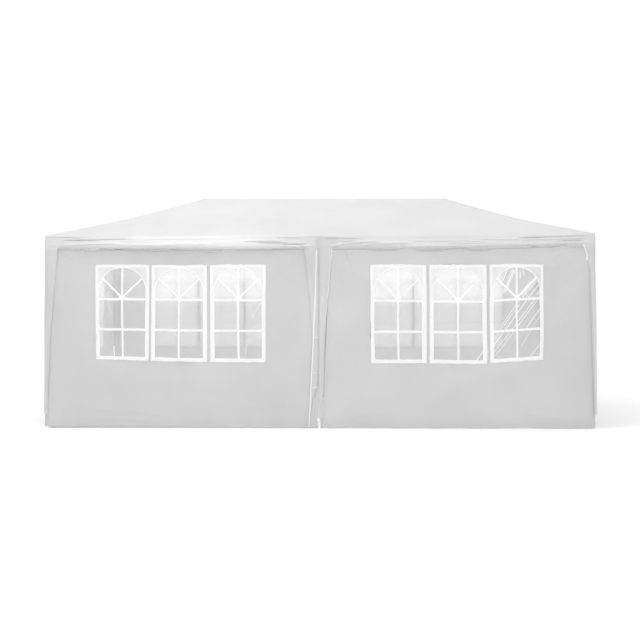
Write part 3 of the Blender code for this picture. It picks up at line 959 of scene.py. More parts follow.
FRONT_FEET = {
    "left": ((-2.99, 0.022), (-2.80, 0.016), (-2.38, 0.028), (-1.30, 0.020), (-0.75, 0.014), (-0.02, 0.010)),
    "right": ((0.02, 0.010), (0.34, 0.026), (0.88, 0.014), (1.40, 0.006), (2.99, 0.006)),
}

# The other walls' edges: the levels of their ties, of the top between them, and of the foot
TIED_LEVEL = 1.958
HUNG_LEVEL = 1.928
FOOT_LEVEL = 0.014

# How far a window's print goes past its opening: beside, under and over it
PRINT_MARGINS = (0.002, 0.006, 0.004)

# Films' creases on the front: start, end, half width, height and whiteness. The whiteness is partly
# stress-whitening and partly a painted highlight, and on the broad ones a painted highlight
FRONT_CREASES = {
    "left": (
        ((-2.236, 0.880), (-2.232, 0.740), 0.0045, 0.0030, 0.70),
        ((-2.300, 1.490), (-2.270, 1.250), 0.0040, 0.0016, 0.18),
        ((-0.610, 1.380), (-0.720, 1.200), 0.0040, 0.0020, 0.25),
        ((-0.600, 1.120), (-0.640, 0.960), 0.0040, 0.0020, 0.30),
        ((-0.760, 0.990), (-0.800, 0.760), 0.0040, 0.0018, 0.20),
        ((-1.560, 1.060), (-1.520, 1.000), 0.0050, 0.0020, 0.30),
    ),
    "right": (
        ((2.035, 1.755), (1.960, 1.595), 0.0042, 0.0030, 0.80),
        ((2.005, 1.735), (1.955, 1.635), 0.0030, 0.0020, 0.45),
        ((2.115, 1.765), (1.980, 1.470), 0.0140, 0.0050, 0.60),
        ((2.175, 1.725), (2.170, 1.630), 0.0085, 0.0030, 0.55),
        ((2.205, 1.755), (2.220, 1.665), 0.0030, 0.0020, 0.60),
        ((2.370, 1.660), (2.170, 1.435), 0.0150, 0.0050, 0.50),
        ((2.350, 1.665), (2.155, 1.450), 0.0030, 0.0020, 0.55),
        ((2.385, 1.635), (2.195, 1.420), 0.0034, 0.0025, 0.75),
        ((2.395, 1.580), (2.005, 1.080), 0.0036, 0.0040, 0.95),
        ((2.010, 1.090), (1.865, 0.910), 0.0036, 0.0035, 0.90),
        ((1.885, 0.920), (1.750, 0.745), 0.0034, 0.0030, 0.75),
        ((2.415, 1.525), (2.355, 1.435), 0.0100, 0.0030, 0.40),
        ((2.160, 1.390), (1.950, 1.115), 0.0030, 0.0035, 0.80),
        ((2.175, 1.360), (1.935, 1.065), 0.0030, 0.0030, 0.80),
        ((2.370, 1.430), (1.860, 0.825), 0.0030, 0.0040, 0.85),
        ((2.380, 1.405), (1.870, 0.775), 0.0030, 0.0035, 0.85),
        ((1.850, 0.990), (1.680, 0.735), 0.0034, 0.0030, 0.70),
        ((1.860, 0.885), (1.760, 0.750), 0.0030, 0.0025, 0.60),
        ((2.415, 1.315), (2.240, 1.085), 0.0032, 0.0035, 0.90),
        ((2.415, 1.225), (2.330, 1.120), 0.0030, 0.0020, 0.45),
        ((2.285, 1.050), (2.175, 0.880), 0.0045, 0.0020, 0.22),
        ((2.435, 0.935), (2.260, 0.730), 0.0032, 0.0035, 0.85),
        ((2.405, 0.810), (2.360, 0.750), 0.0034, 0.0020, 0.35),
    ),
}

# How much whiter the films' heads are on the front, as painted light over the shade seen through their
# arches: from and to along it, and the whiteness
VEILS = ((-2.44, -1.81, 0.08), (-1.81, -1.18, 0.27), (-1.18, -0.55, 0.35), (0.55, 1.81, 0.35))
VEIL_FOOT = 1.58

# The heights of a wall's broad hills, of the puckers over its windows and of the crinkles along them
BROAD_HILLS = {"front_right": 0.0105}
BROAD_HILL = 0.0075
PUCKER = 0.0022
CRINKLE = 0.0016

# The gap between the front walls and the middle drape: the left's, and the right's by height
LEFT_SLIT = 0.0075
SLIT = ((0.0, 0.002), (0.12, 0.004), (0.25, 0.012), (0.50, 0.012), (1.10, 0.013), (1.50, 0.012),
        (1.955, 0.004))

# The front walls' own folds: start, end, width and push outwards
FOLD_BOW = 0.02
WALL_FOLDS = {
    "front_right": (
        ((0.21, 1.97), (0.40, 1.60), 0.011, -0.006), ((0.27, 1.95), (0.46, 1.62), 0.030, 0.006),
        ((0.10, 1.90), (0.20, 1.30), 0.020, 0.004), ((2.50, 1.85), (2.90, 1.93), 0.020, 0.005),
        ((2.46, 1.70), (2.85, 1.90), 0.030, 0.004), ((2.52, 1.30), (2.90, 1.75), 0.080, -0.012),
        ((2.50, 0.75), (1.20, 0.45), 0.100, 0.011), ((2.90, 0.60), (2.55, 1.25), 0.070, 0.009),
        ((0.20, 0.10), (1.20, 0.16), 0.020, 0.004), ((1.60, 0.22), (2.70, 0.10), 0.024, 0.005),
    ),
    "front_left": (
        ((-2.75, 1.92), (-2.48, 1.50), 0.025, 0.004), ((-0.55, 1.60), (-0.20, 1.90), 0.030, 0.004),
        ((-2.45, 0.085), (-1.80, 0.050), 0.012, 0.006), ((-2.90, 1.50), (-2.50, 0.90), 0.110, 0.012),
        ((-2.30, 0.62), (-0.90, 0.40), 0.090, 0.010), ((-2.70, 0.20), (-1.60, 0.12), 0.024, 0.004),
        ((-1.50, 0.30), (-0.50, 0.20), 0.030, 0.004),
    ),
}

# How the front's sheets are pulled out of square round their windows, by distance along the front: sideways,
# and up at the heights of the windows' feet, lower bars, upper bars and heads
FRONT_PULLS = {
    "left": (
        (-2.80, 0, 0, 0, 0, 0), (-2.44, 0, 0.033, 0.011, 0.001, -0.023),
        (-1.83, -0.030, 0.017, 0.003, -0.002, -0.023), (-1.80, -0.026, 0.016, 0.002, -0.003, -0.024),
        (-1.50, -0.027, 0.007, -0.005, -0.008, -0.028), (-1.20, -0.028, 0.003, -0.005, -0.008, -0.028),
        (-1.165, -0.010, 0.003, -0.005, -0.008, -0.028), (-0.85, -0.014, 0, -0.009, -0.012, -0.023),
        (-0.56, -0.022, 0.003, -0.008, -0.008, -0.020), (-0.15, 0, 0, 0, 0, 0),
    ),
    "right": (
        (0.15, 0, 0, 0, 0, 0), (0.56, 0, -0.008, -0.017, -0.015, -0.023),
        (1.16, -0.012, -0.009, -0.019, -0.021, -0.025), (1.19, 0.006, -0.010, -0.019, -0.022, -0.025),
        (1.50, 0.009, -0.015, -0.022, -0.028, -0.023), (1.80, 0.012, -0.015, -0.021, -0.026, -0.022),
        (1.83, 0.028, -0.004, -0.019, -0.018, -0.020), (2.44, 0, 0.034, 0.022, 0.014, -0.018),
        (2.85, 0, 0, 0, 0, 0),
    ),
}
PULL_HEIGHTS = (0.30, 0.717, 1.069, 1.406, 1.805, 1.94)


def pulls(kind, t, z):
    """How far sideways and up the front's sheet is pulled at t and z."""
    table = FRONT_PULLS[kind]
    flat = np.zeros(t.shape)
    levels = [flat, *(table_at(table, t, column) for column in range(2, 6)), flat]
    up = flat
    for low, high, below, above in zip(PULL_HEIGHTS, PULL_HEIGHTS[1:], levels, levels[1:]):
        share = np.clip((z - low) / (high - low), 0, 1)
        up = np.where((z >= low) & (z <= high), below + (above - below) * share, up)
    return table_at(table, t) * smooth((z - 0.25) / 0.4) * smooth((1.96 - z) / 0.12), up


class Wall:
    """One wall between two legs, in the plane of its side. t is as on the side."""

    def __init__(self, name, side, start, end, openings, nodes):
        self.name = name
        self.side = SIDES[side]
        self.start = start
        self.end = end
        self.openings = openings
        self.nodes = nodes
        self.kind = "left" if end < 0 else "right"
        self.front = side == "front"

    def hills(self, t, z, mark, size, count=7):
        """Random hills of the wall's own."""
        return waves(t, z, self.name + mark, size, count)

    def top(self, t):
        return table_at(FRONT_TOPS[self.kind] if self.front else self.scallops(), t)

    def scallops(self):
        """The top edge's heights away from the front: up at each tie, and hanging between them."""
        draw = random.Random(self.name + "top")
        knots = []
        place = self.start
        while place < self.end:
            high = TIED_LEVEL + draw.uniform(-0.006, 0.006)
            low = HUNG_LEVEL + draw.uniform(-0.012, 0.010)
            width = draw.uniform(0.38, 0.62)
            knots += [(place, high), (place + 0.04, low)]
            knots.append((place + width - 0.05, low + draw.uniform(-0.005, 0.005)))
            place += width
        return knots

    def foot(self, t):
        if self.front:
            return table_at(FRONT_FEET[self.kind], t)
        return FOOT_LEVEL + 0.006 * self.hills(t, t * 0, "foot", 1.4)

    def warped(self, t, z, offset=0.0, film=False):
        """World points of the sheet's own points: t along it, z up it, and offset outwards."""
        t, z = np.broadcast_arrays(t, z)
        ends = np.minimum(t - self.start, self.end - t)
        place = t + 0.004 * self.hills(t * 0.6, z, "side", 0.9) * smooth(ends / 0.25)
        up = z + (self.top(t) - WALL_TOP) * smooth((z - 1.80) / (WALL_TOP - 1.80))
        up = up + (self.foot(t) - WALL_FOOT) * smooth(1 - (z - WALL_FOOT) / 0.5)
        under_top = smooth((1.93 - z) / 0.1)
        if self.front:
            side, lift = pulls(self.kind, t, z)
            place = place + side
            up = up + lift + 0.0015 * self.hills(t, z * 0.4, "up", 0.3) * under_top
            if self.kind == "left":
                slit, from_middle = LEFT_SLIT, self.end - t
            else:
                slit = table_at(RIGHT_FLAP, z, 2) + table_at(SLIT, z) - self.start
                from_middle = t - self.start
            place = place + slit * smooth(1 - from_middle / 0.40)
        else:
            up = up + 0.005 * self.hills(t, z * 0.4, "up", 1.0) * smooth((z - 0.2) / 0.4) * under_top
        out = self.relief(t, z, ends)
        if film:
            out = out + self.film_relief(t, z)
        return self.side.points(place, self.side.depth + PLANE + out + offset, up)

    def relief(self, t, z, ends):
        """The sheet's folds, outwards: hills, gathers low and high, crinkles, puckers and the front's own."""
        broad = BROAD_HILLS.get(self.name, BROAD_HILL)
        out = broad * self.hills(t, z * 0.8, "a", 0.85) * smooth((1.90 - z) / 0.3)
        out = out + 0.0013 * self.hills(t, z, "b", 0.28)
        out = out + 0.0035 * self.hills(t, z * 0.12, "c", 0.42, 9) * smooth((0.55 - z) / 0.5)
        out = out + 0.0030 * self.hills(t, z * 0.10, "d", 0.30, 9) * smooth((z - 1.80) / 0.16)
        for low, width in ((WINDOW_TOP, 0.022), (WINDOW_FOOT, 0.030)):
            crinkle = self.hills(t, z * 0.25, str(low), 0.085, 9)
            out = out + CRINKLE * crinkle * np.exp(-((z - low) / width) ** 2)
        pucker = self.hills(t, z * 0.3, f"{WINDOW_TOP}fine", 0.042, 9)
        out = out + PUCKER * pucker * np.exp(-((z - WINDOW_TOP - 0.012) / 0.012) ** 2)
        for start, end, width, push in WALL_FOLDS.get(self.name, ()):
            out = out + push * stroke(t, z, start, end, width, FOLD_BOW)
        return out * smooth((ends - 0.03) / 0.18) + 0.0004 * np.clip(WALL_TOP - z, 0, 1)

    def film_relief(self, t, z):
        """The film's own hills and creases, outwards."""
        inside = np.zeros(t.shape)
        for opening in self.openings:
            inside = np.maximum(inside, smooth((inside_by(t, z, *opening) - 0.01) / 0.06))
        out = 0.0028 * self.hills(t, z, "f", 0.34) + 0.0010 * self.hills(t, z, "g", 0.13)
        return (out + self.creases(t, z)[0]) * inside

    def creases(self, t, z):
        """The height and the whiteness of the film's creases: sharp ridges, and broad soft ones. The
        whiteness is partly a painted highlight of their glints, and on the broad ones wholly.
        """
        height, white = np.zeros(t.shape), np.zeros(t.shape)
        for start, end, width, push, pale in self.crease_list():
            near = (stroke if width > BROAD else ridge)(t, z, start, end, width)
            height = height + push * near
            white = np.maximum(white, pale * near)
        return height, white

    def crease_list(self):
        """The film's creases: the front's own, and elsewhere a few short ones in each window."""
        if self.front:
            return FRONT_CREASES[self.kind]
        draw = random.Random(self.name + "crease")
        made = []
        for low, high, foot, head in self.openings:
            for _ in range(3):
                start = (draw.uniform(low + 0.05, high - 0.05), draw.uniform(foot + 0.1, head - 0.1))
                angle = draw.uniform(-1.3, 1.3)
                length = draw.uniform(0.10, 0.28)
                end = (start[0] + length * math.cos(angle), start[1] + length * math.sin(angle))
                made.append((start, end, 0.004, 0.0018, draw.uniform(0.10, 0.35)))
        return made

    def veil(self, t, z):
        """The whiteness painted into the front films' heads: painted light over the shade seen through most
        of their arches.
        """
        total = np.zeros(t.shape)
        for low, high, share in VEILS if self.front else ():
            total = np.where((t > low) & (t < high), share, total)
        return total * smooth((z - VEIL_FOOT) / 0.10)


def lines_between(stops, size):
    """Places for grid lines: every stop, and evenly between them no more than size apart."""
    values = [stops[0]]
    for low, high in zip(stops, stops[1:]):
        cells = max(1, round((high - low) / size))
        values += list(np.linspace(low, high, cells + 1)[1:])
    return np.array(values)


def hem_stops(low, high):
    """An edge, its hem and the step beside it, from both ends."""
    return {low, low + HEM, low + HEM + HEM_STEP, high - HEM - HEM_STEP, high - HEM, high}


def wall_sheet(wall, size):
    """The wall's own sheet with its openings cut, and its hems a step thicker along the edges."""
    stops, levels = hem_stops(wall.start, wall.end), hem_stops(WALL_FOOT, WALL_TOP)
    for low, high, foot, head in wall.openings:
        stops |= {low, high}
        levels |= {max(foot, WALL_FOOT), head}
    across = lines_between(sorted(stops), size)
    heights = lines_between(sorted(levels), size)[::-1]
    t, z = np.meshgrid(across, heights)
    edge = inside_by(t, z, wall.start, wall.end, WALL_FOOT, WALL_TOP)
    middle_t, middle_z = np.meshgrid((across[:-1] + across[1:]) / 2, (heights[:-1] + heights[1:]) / 2)
    keep = np.ones(middle_t.shape, bool)
    area = (wall.end - wall.start) * (WALL_TOP - WALL_FOOT)
    for low, high, foot, head in wall.openings:
        keep &= inside_by(middle_t, middle_z, low, high, foot, head) <= 0
        area -= (high - low) * (head - max(foot, WALL_FOOT))
    sheet = Patchwork()
    sheet.grid(wall.warped(t, z, np.where(edge <= HEM + NEAR, HEM_RAISE, 0.0)), keep)
    made = sheet.build(f"wall_{wall.name}_sheet", "wall", weld=WELD)
    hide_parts(*wall.nodes)
    return made, (wall.end - wall.start, WALL_TOP - WALL_FOOT), area


def top_hem(wall):
    """The rolled cord of a wall's top hem, that catches the light along its edge."""
    t = lines_between([wall.start + 0.002, wall.end - 0.002], TOP_HEM_CELLS)
    line = wall.warped(t, np.full(t.shape, WALL_TOP - TOP_HEM_DROP), TOP_HEM_LIFT)
    hem = Patchwork()
    hem.grid(tube_path(line, TOP_HEM_R, guide=wall.side.out))
    return hem.build(f"wall_{wall.name}_top_hem", "wall")


def pane_outlines(middle):
    """The clear panes between a window's printed bars, each an outline."""
    low, high = BAR_HEIGHTS
    bar = BAR_WIDTH / 2
    panes = []
    for foot, head in ((PANE_FOOT, low - bar), (low + bar, high - bar)):
        sides = (POST_WIDTH / 2, PANE_HALF)
        panes.append([(sides[0], foot), (sides[1], foot), (sides[1], head), (sides[0], head)])
    panes += [fan_pane(0, math.pi / 4, high + bar), fan_pane(math.pi / 4, math.pi / 2, high + bar)]
    return [[(middle + sign * x, z) for x, z in pane] for sign in (-1, 1) for pane in panes]


def spoke_edge(angle, shift, hub):
    """An edge of a spoke of the fan, shifted sideways: where it leaves the hub and meets the frame."""
    ahead = np.array((math.cos(angle), math.sin(angle)))
    start = np.array((-ahead[1] * shift, hub + HUB_RISE + ahead[0] * shift))
    below = ARCH_CENTRE - start[1]
    b = below * ahead[1] - start[0] * ahead[0]
    reach = b + math.sqrt(b * b - start[0] ** 2 - below ** 2 + PANE_HALF ** 2)
    end = start + ahead * reach
    if end[1] < ARCH_CENTRE:
        end = np.array((PANE_HALF, start[1] + ahead[1] * (PANE_HALF - start[0]) / ahead[0]))
    return tuple(start + ahead * HUB_R), tuple(end)


def fan_pane(inner, outer, hub):
    """A pane of the fan over the upper bar, between two of its spokes' angles."""
    half = PANE_HALF
    post = POST_WIDTH / 2
    start, first = spoke_edge(inner, post, hub) if inner else ((HUB_R + HUB_GAP, hub), (half, hub))
    final, last = spoke_edge(outer, -post, hub)
    if outer == math.pi / 2:
        final = (post, hub + HUB_R + HUB_GAP)
        last = (post, ARCH_CENTRE + math.sqrt(half * half - post * post))
    points = [start, first]
    low, high = (math.atan2(z - ARCH_CENTRE, x) for x, z in (first, last))
    if low < 0:
        points.append((half, ARCH_CENTRE))
        low = 0
    angles = np.linspace(low, high, max(3, round((high - low) * half / 0.018)) + 1)[1:]
    points += [(half * math.cos(a), ARCH_CENTRE + half * math.sin(a)) for a in angles]
    between_spokes = (inner + outer) / 2
    inset = HUB_R * 0.86
    points += [final, (math.cos(between_spokes) * inset, hub + HUB_RISE + math.sin(between_spokes) * inset)]
    return points


def window_print(wall, size):
    """The white frames, arches and bars printed on the films: a sheet with the clear panes cut out."""
    points, faces = [], []
    beside, under, over = PRINT_MARGINS
    for low, high, foot, head in wall.openings:
        outer = print_edge(wall, low - beside, high + beside, foot - under, head + over)
        own, tris = cut_sheet(outer, pane_outlines((low + high) / 2), size)
        faces += [tuple(i + len(points) for i in tri) for tri in tris]
        points += own
    t, z = np.array(points).T
    mesh = window_mesh(f"window_frames_{wall.name}", wall, t, z, FILM_BACK + PRINT_PROUD, faces)
    paint(mesh, "thin", thin_print(wall, t, z))
    return dressed(placed(mesh), "print")


def window_mesh(name, wall, t, z, offset, faces):
    """A flat mesh of the windows, moved with the films."""
    mesh = bpy.data.meshes.new(name)
    mesh.from_pydata(wall.warped(t, z, offset, film=True).tolist(), [], faces)
    return mesh


def print_edge(wall, low, high, foot, head):
    """A window's printed outline, a little uneven, with puckers along its top."""
    x = np.linspace(low, high, 44)[:-1]
    z = np.linspace(foot, head, 60)[:-1]
    rough = [0.0013 * wall.hills(s, s * 0, f"{low}{k}", 0.16) for k, s in enumerate((x, z, x, z))]
    pucker = 0.0110 * np.clip(wall.hills(x, x * 0, f"{low}pucker", 0.06, 9) - 0.9, 0, 1.2)
    eased = smooth(np.minimum(x - low, high - x) / 0.03)
    tall = smooth(np.minimum(z - foot, head - z) / 0.03)
    parts = ((x, foot + rough[0] * eased), (high + rough[1] * tall, z),
             (low + high - x, head + (rough[2] + pucker) * eased), (low + rough[3] * tall, foot + head - z))
    return [(float(a), float(b)) for part in parts for a, b in zip(*part)]


def thin_print(wall, t, z):
    """1 where the print is thin: in the corners over a window's arch, and all over at the back."""
    thin = np.full(t.shape, 1.0 if wall.side.name == "back" else 0.0)
    for low, high, foot, head in wall.openings:
        away = np.hypot(t - (low + high) / 2, z - ARCH_CENTRE)
        edge = np.minimum(np.minimum(t - low, high - t), head - z)
        inside = (z > ARCH_CENTRE - 0.05) & (t > low) & (t < high)
        off_arch = smooth((away - PANE_HALF - 0.004) / 0.012)
        thin = np.maximum(thin, inside * off_arch * smooth((edge - 0.020) / 0.012))
    return thin


def cut_sheet(outer, holes, size):
    """Points and triangles of a flat sheet with holes, in cells of about one size."""
    points, edges = [], []
    for outline in [outer] + holes:
        first = len(points)
        for (ax, az), (bx, bz) in zip(outline, outline[1:] + outline[:1]):
            cells = max(1, round(math.hypot(bx - ax, bz - az) / size))
            points += [(ax + (bx - ax) * i / cells, az + (bz - az) * i / cells) for i in range(cells)]
        count = len(points) - first
        edges += [(first + i, first + (i + 1) % count) for i in range(count)]
    lows, highs = np.min(outer, axis=0), np.max(outer, axis=0)
    for x in np.arange(lows[0] + size, highs[0] - size / 2, size):
        for z in np.arange(lows[1] + size, highs[1] - size / 2, size):
            if not any(within((x, z), hole, size * 0.35) for hole in holes):
                points.append((x, z))
    made = delaunay_2d_cdt([Vector(p) for p in points], edges, [], 0, 1e-6)
    verts = [tuple(v) for v in made[0]]
    faces = []
    for tri in made[2]:
        centre = np.mean([verts[i] for i in tri], axis=0)
        if not any(within(centre, hole, 0.0) for hole in holes):
            faces.append(tri)
    used = sorted({i for face in faces for i in face})
    number = {old: new for new, old in enumerate(used)}
    return [verts[i] for i in used], [tuple(number[i] for i in face) for face in faces]


def within(point, outline, margin):
    """Whether a point is inside an outline, or within a margin of it."""
    x, z = point
    inside = False
    for (ax, az), (bx, bz) in zip(outline, outline[1:] + outline[:1]):
        if (az > z) != (bz > z) and x < (bx - ax) * (z - az) / (bz - az) + ax:
            inside = not inside
        if margin:
            dx, dz = bx - ax, bz - az
            share = min(1, max(0, ((x - ax) * dx + (z - az) * dz) / (dx * dx + dz * dz)))
            if math.hypot(x - ax - share * dx, z - az - share * dz) < margin:
                return True
    return inside


def crease_points(wall, size):
    """Rows of points along the film's crisp creases."""
    rows = []
    for start, end, width, *_ in wall.crease_list():
        if width > BROAD:
            continue
        start, end = np.array(start), np.array(end)
        length = np.linalg.norm(end - start)
        ahead = (end - start) / length
        across = np.array((-ahead[1], ahead[0]))
        cells = max(4, round(length / size))
        for off in (-RIDGE_FOOT, -1, 0, 1, RIDGE_FOOT):
            rows += [start + ahead * length * k / cells + across * off * width for k in range(cells + 1)]
    return np.array(rows)


def window_film(wall, size):
    """The clear film behind a wall's windows: one sheet, a lap wider than they are together."""
    low, high = wall.openings[0][0] - FILM_LAP, wall.openings[-1][1] + FILM_LAP
    foot, head = WINDOW_FOOT - FILM_LAP, WINDOW_TOP + FILM_LAP
    columns = lines_between([low, high], size)
    rows = lines_between([foot, head], size)
    extra = crease_points(wall, size * 0.7)
    for axis, least, most in ((0, low, high), (1, foot, head)):
        extra = extra[(extra[:, axis] > least + size * 0.3) & (extra[:, axis] < most - size * 0.3)]
    inner = np.stack(np.meshgrid(columns[1:-1], rows[1:-1]), axis=-1).reshape(-1, 2)
    near = np.min([np.hypot(*(inner - p).T) for p in extra], axis=0)
    rim = [(x, foot) for x in columns[:-1]] + [(high, z) for z in rows[:-1]]
    rim += [(x, head) for x in columns[:0:-1]] + [(low, z) for z in rows[:0:-1]]
    points = np.concatenate((np.array(rim), inner[near > size * 0.45], extra))
    edges = [(i, (i + 1) % len(rim)) for i in range(len(rim))]
    made = delaunay_2d_cdt([Vector(p) for p in points.tolist()], edges, [], 0, 1e-5)
    t, z = np.array([tuple(v) for v in made[0]]).T
    mesh = window_mesh(f"window_film_{wall.name}_sheet", wall, t, z, FILM_BACK, made[2])
    # Whiteness: painted highlights along the creases, and the painted light of the arches' veil
    paint(mesh, "crease", np.maximum(wall.creases(t, z)[1], wall.veil(t, z)))
    paint(mesh, "dust", DUST.get(wall.side.name, DUST_ELSEWHERE) * smooth((DUST_TOP - z) / 0.12))
    return dressed(placed(mesh), "film", [f"window_film_{wall.name}"]), (high - low, head - foot)


def window_openings(middle):
    """A wall's three windows: from and to along it, foot and head."""
    places = [middle + k * (WINDOW_WIDTH + WINDOW_GAP) for k in (-1, 0, 1)]
    return [(place - WINDOW_WIDTH / 2, place + WINDOW_WIDTH / 2, WINDOW_FOOT, WINDOW_TOP) for place in places]


WALLS = (
    Wall("front_left", "front", -LAST, -SPLIT, window_openings(-1.5), ["wall_front_left"]),
    Wall("front_right", "front", SPLIT, LAST, window_openings(1.5), ["wall_front_right"]),
    Wall("back_right", "back", -LAST, -SPLIT, window_openings(-1.5), ["wall_back_right"]),
    Wall("back_left", "back", SPLIT, LAST, window_openings(1.5), ["wall_back_left"]),
    Wall("left_end", "left", -END_LAST, END_LAST, window_openings(0.0), ["wall_left_end"]),
    Wall("right_end", "right", -END_LAST, END_LAST, [(-DOOR_HALF, DOOR_HALF, UNDER_GROUND, DOOR_HEIGHT)],
         ["door_wall_front", "door_wall_back", "door_wall_head"]),
)


def build_walls():
    """Every wall's sheet, with the film and the printed frames of its windows."""
    for wall in WALLS:
        sheet_cells, film_cells = (cells[0 if wall.front else 1] for cells in (SHEET_CELLS, FILM_CELLS))
        sheet, flat, area = wall_sheet(wall, sheet_cells)
        top_hem(wall)
        if wall.name != "right_end":
            film, film_flat = window_film(wall, film_cells)
            printed = window_print(wall, sheet_cells)


build_walls()


# Small parts: eyelets and elastic loops, ties, the rolled door, zips and spring buttons

# Eyelets in the walls' top hems: how far down they are, their ring and wire. The loops through them: their
# cord, how far they stand off the tube, how they pass the hole, and how near a wall's ends they are left out
EYELET_DROP = 0.014
EYELET_R = 0.0075
EYELET_WIRE = 0.0018
LOOP_R = 0.0015
LOOP_STAND = 0.0017
LOOP_OUT = 0.0030
LOOP_IN = 0.0040
TIE_MARGIN = 0.10

# The ties round a middle leg: their cord, how far it stands off the tube, out in front, slants and goes past
# the webbing. The knot near the foot, the band that holds it, and its loose ends by lean and length
TIE_R = 0.0030
TIE_STAND = 0.0025
TIE_FRONT = 0.013
TIE_SLANT = 0.006
TIE_BESIDE = 0.003
TIE_SPARE = 0.002
KNOT_HEIGHT = 0.094
KNOT_OUT = 0.016
KNOT_BESIDE = 0.008
KNOT_UNDER = 0.008
KNOT_SIZE = 0.013
KNOT_R = 0.0044
BAND_R = 0.0026
BAND_STAND = 0.0028
END_R = 0.0024
LOOSE_ENDS = ((-0.010, 0.045), (0.012, 0.034))

# The tape at the front right corner: its route along the front and down, its size, and how far out it hangs
CORNER_TIE = ((2.866, 2.006), (2.872, 1.985), (2.881, 1.955), (2.892, 1.925), (2.902, 1.895),
              (2.906, 1.862), (2.903, 1.826))
TAPE_WIDTH = 0.012
TAPE_THICK = 0.0016
TAPE_OUT = 0.012

# The rolled door: its turns, the radius that the first starts at, how slack they are, and how tight the
# straps draw them. The straps, and their toggles and loops
ROLL_TURNS = 14
TURN_POINTS = 22
ROLL_START = 0.0045
ROLL_END = -math.radians(20)
ROLL_SLACK = 0.018
ROLL_PINCH = 0.07
PINCH_WIDTH = 0.035
STRAP_STAND = 0.0022
STRAP_WIDTH = 0.024
STRAP_THICK = 0.0016
TOGGLE_HALF = 0.017
TOGGLE_RISE = 0.020
TOGGLE_LOOP_R = 0.0068

# The zips: their tapes' columns by distance from the doorway's edge and lift, and the pitch of the teeth
ZIP_COLUMNS = ((0.030, 0.0009), (0.029, 0.0024), (0.008, 0.0026), (0.0, 0.0024), (0.0, 0.0012))
TOOTH_PITCH = 0.0065
SLIDER_HALVES = (0.0052, 0.0068, 0.0105)
SLIDER_PULL = ((0.0040, 0, 0.002), (0.0066, 0, -0.006), (0.0056, 0, -0.022), (0.0040, 0, -0.036))

# The spring buttons at a leg's splice
BUTTON_GAP = 0.035
BUTTON_R = 0.0042
BUTTON_RISE = 0.0030
BUTTON_SUNK = 0.0007


def circle(centre, one, other, radius, count=24, start=0.0, end=TURN):
    """Points round an arc in the plane of the directions one and other."""
    angles = np.linspace(start, end, count, endpoint=end - start < TURN - NEAR)[:, None]
    one, other = np.array(one), np.array(other)
    return np.array(centre, float) + radius * (np.cos(angles) * one + np.sin(angles) * other)


def stretches(start, end, shares):
    """Points at shares of the way from start to end."""
    return [start + (end - start) * share for share in shares]


def one_point(wall, t, z, lift=0.0):
    """The world point of a single point of a wall."""
    return wall.warped(np.array([t]), np.array([z]), lift)[0]


def tie_points(wall):
    """Where a wall's top edge is tied up: the tops of its scallops."""
    table = FRONT_TOPS[wall.kind] if wall.front else wall.scallops()
    tops = [t for (_, before), (t, z), (_, after) in zip(table, table[1:], table[2:])
            if z > before and z > after - NEAR]
    return [t for t in tops if min(t - wall.start, wall.end - t) > TIE_MARGIN]


def build_wall_ties():
    """Plated eyelets in the walls' top hems, and the elastic loops that hang them from the eave tubes."""
    eyelets, loops = Patchwork(), Patchwork()
    for wall in WALLS:
        out, ahead = wall.side.out, wall.side.ahead
        for t in tie_points(wall):
            hole = one_point(wall, t, WALL_TOP - EYELET_DROP)
            eyelets.grid(tube_path(circle(hole, ahead, UP, EYELET_R), EYELET_WIRE, guide=out, closed=True))
            tube = ahead * (hole @ ahead) + out * (wall.side.depth - TUBE_INSET) + UP * EAVE_AXIS
            over = list(circle(tube, out, UP, TUBE_R + LOOP_STAND, 13, 0, math.pi))
            down = stretches(over[-1], hole - out * LOOP_IN, (0.25, 0.5, 0.75, 0.95))
            rise = stretches(hole + out * LOOP_OUT, over[0], (0.05, 0.25, 0.5, 0.75))
            line = over + down + [hole - UP * LOOP_R] + rise
            loops.grid(tube_path(line, LOOP_R, 6, ahead, closed=True))
    eyelets.build("wall_eyelets", "metal", weld=WELD)
    loops.build("wall_elastic_loops", "cord", weld=WELD)


def knot(centre, size, side, radius):
    """A cord's knot: one turn of a trefoil."""
    a = np.linspace(0, TURN, 72, endpoint=False)[:, None]
    u = (np.sin(a) + 2 * np.sin(2 * a)) / 3
    v = (np.cos(a) - 2 * np.cos(2 * a)) / 3
    w = -np.sin(3 * a) / 3 * 0.9
    return tube_path(centre + size * (u * side.ahead + v * UP + w * side.out), radius, closed=True)


def loose_end(start, side, lean, length):
    """A short loose end of a tie, hanging from a knot."""
    s = np.linspace(0, 1, 14)[:, None]
    return start + lean * np.sin(s * 1.7) * side.ahead + 0.004 * np.sin(s * 3.0) * side.out - length * s * UP


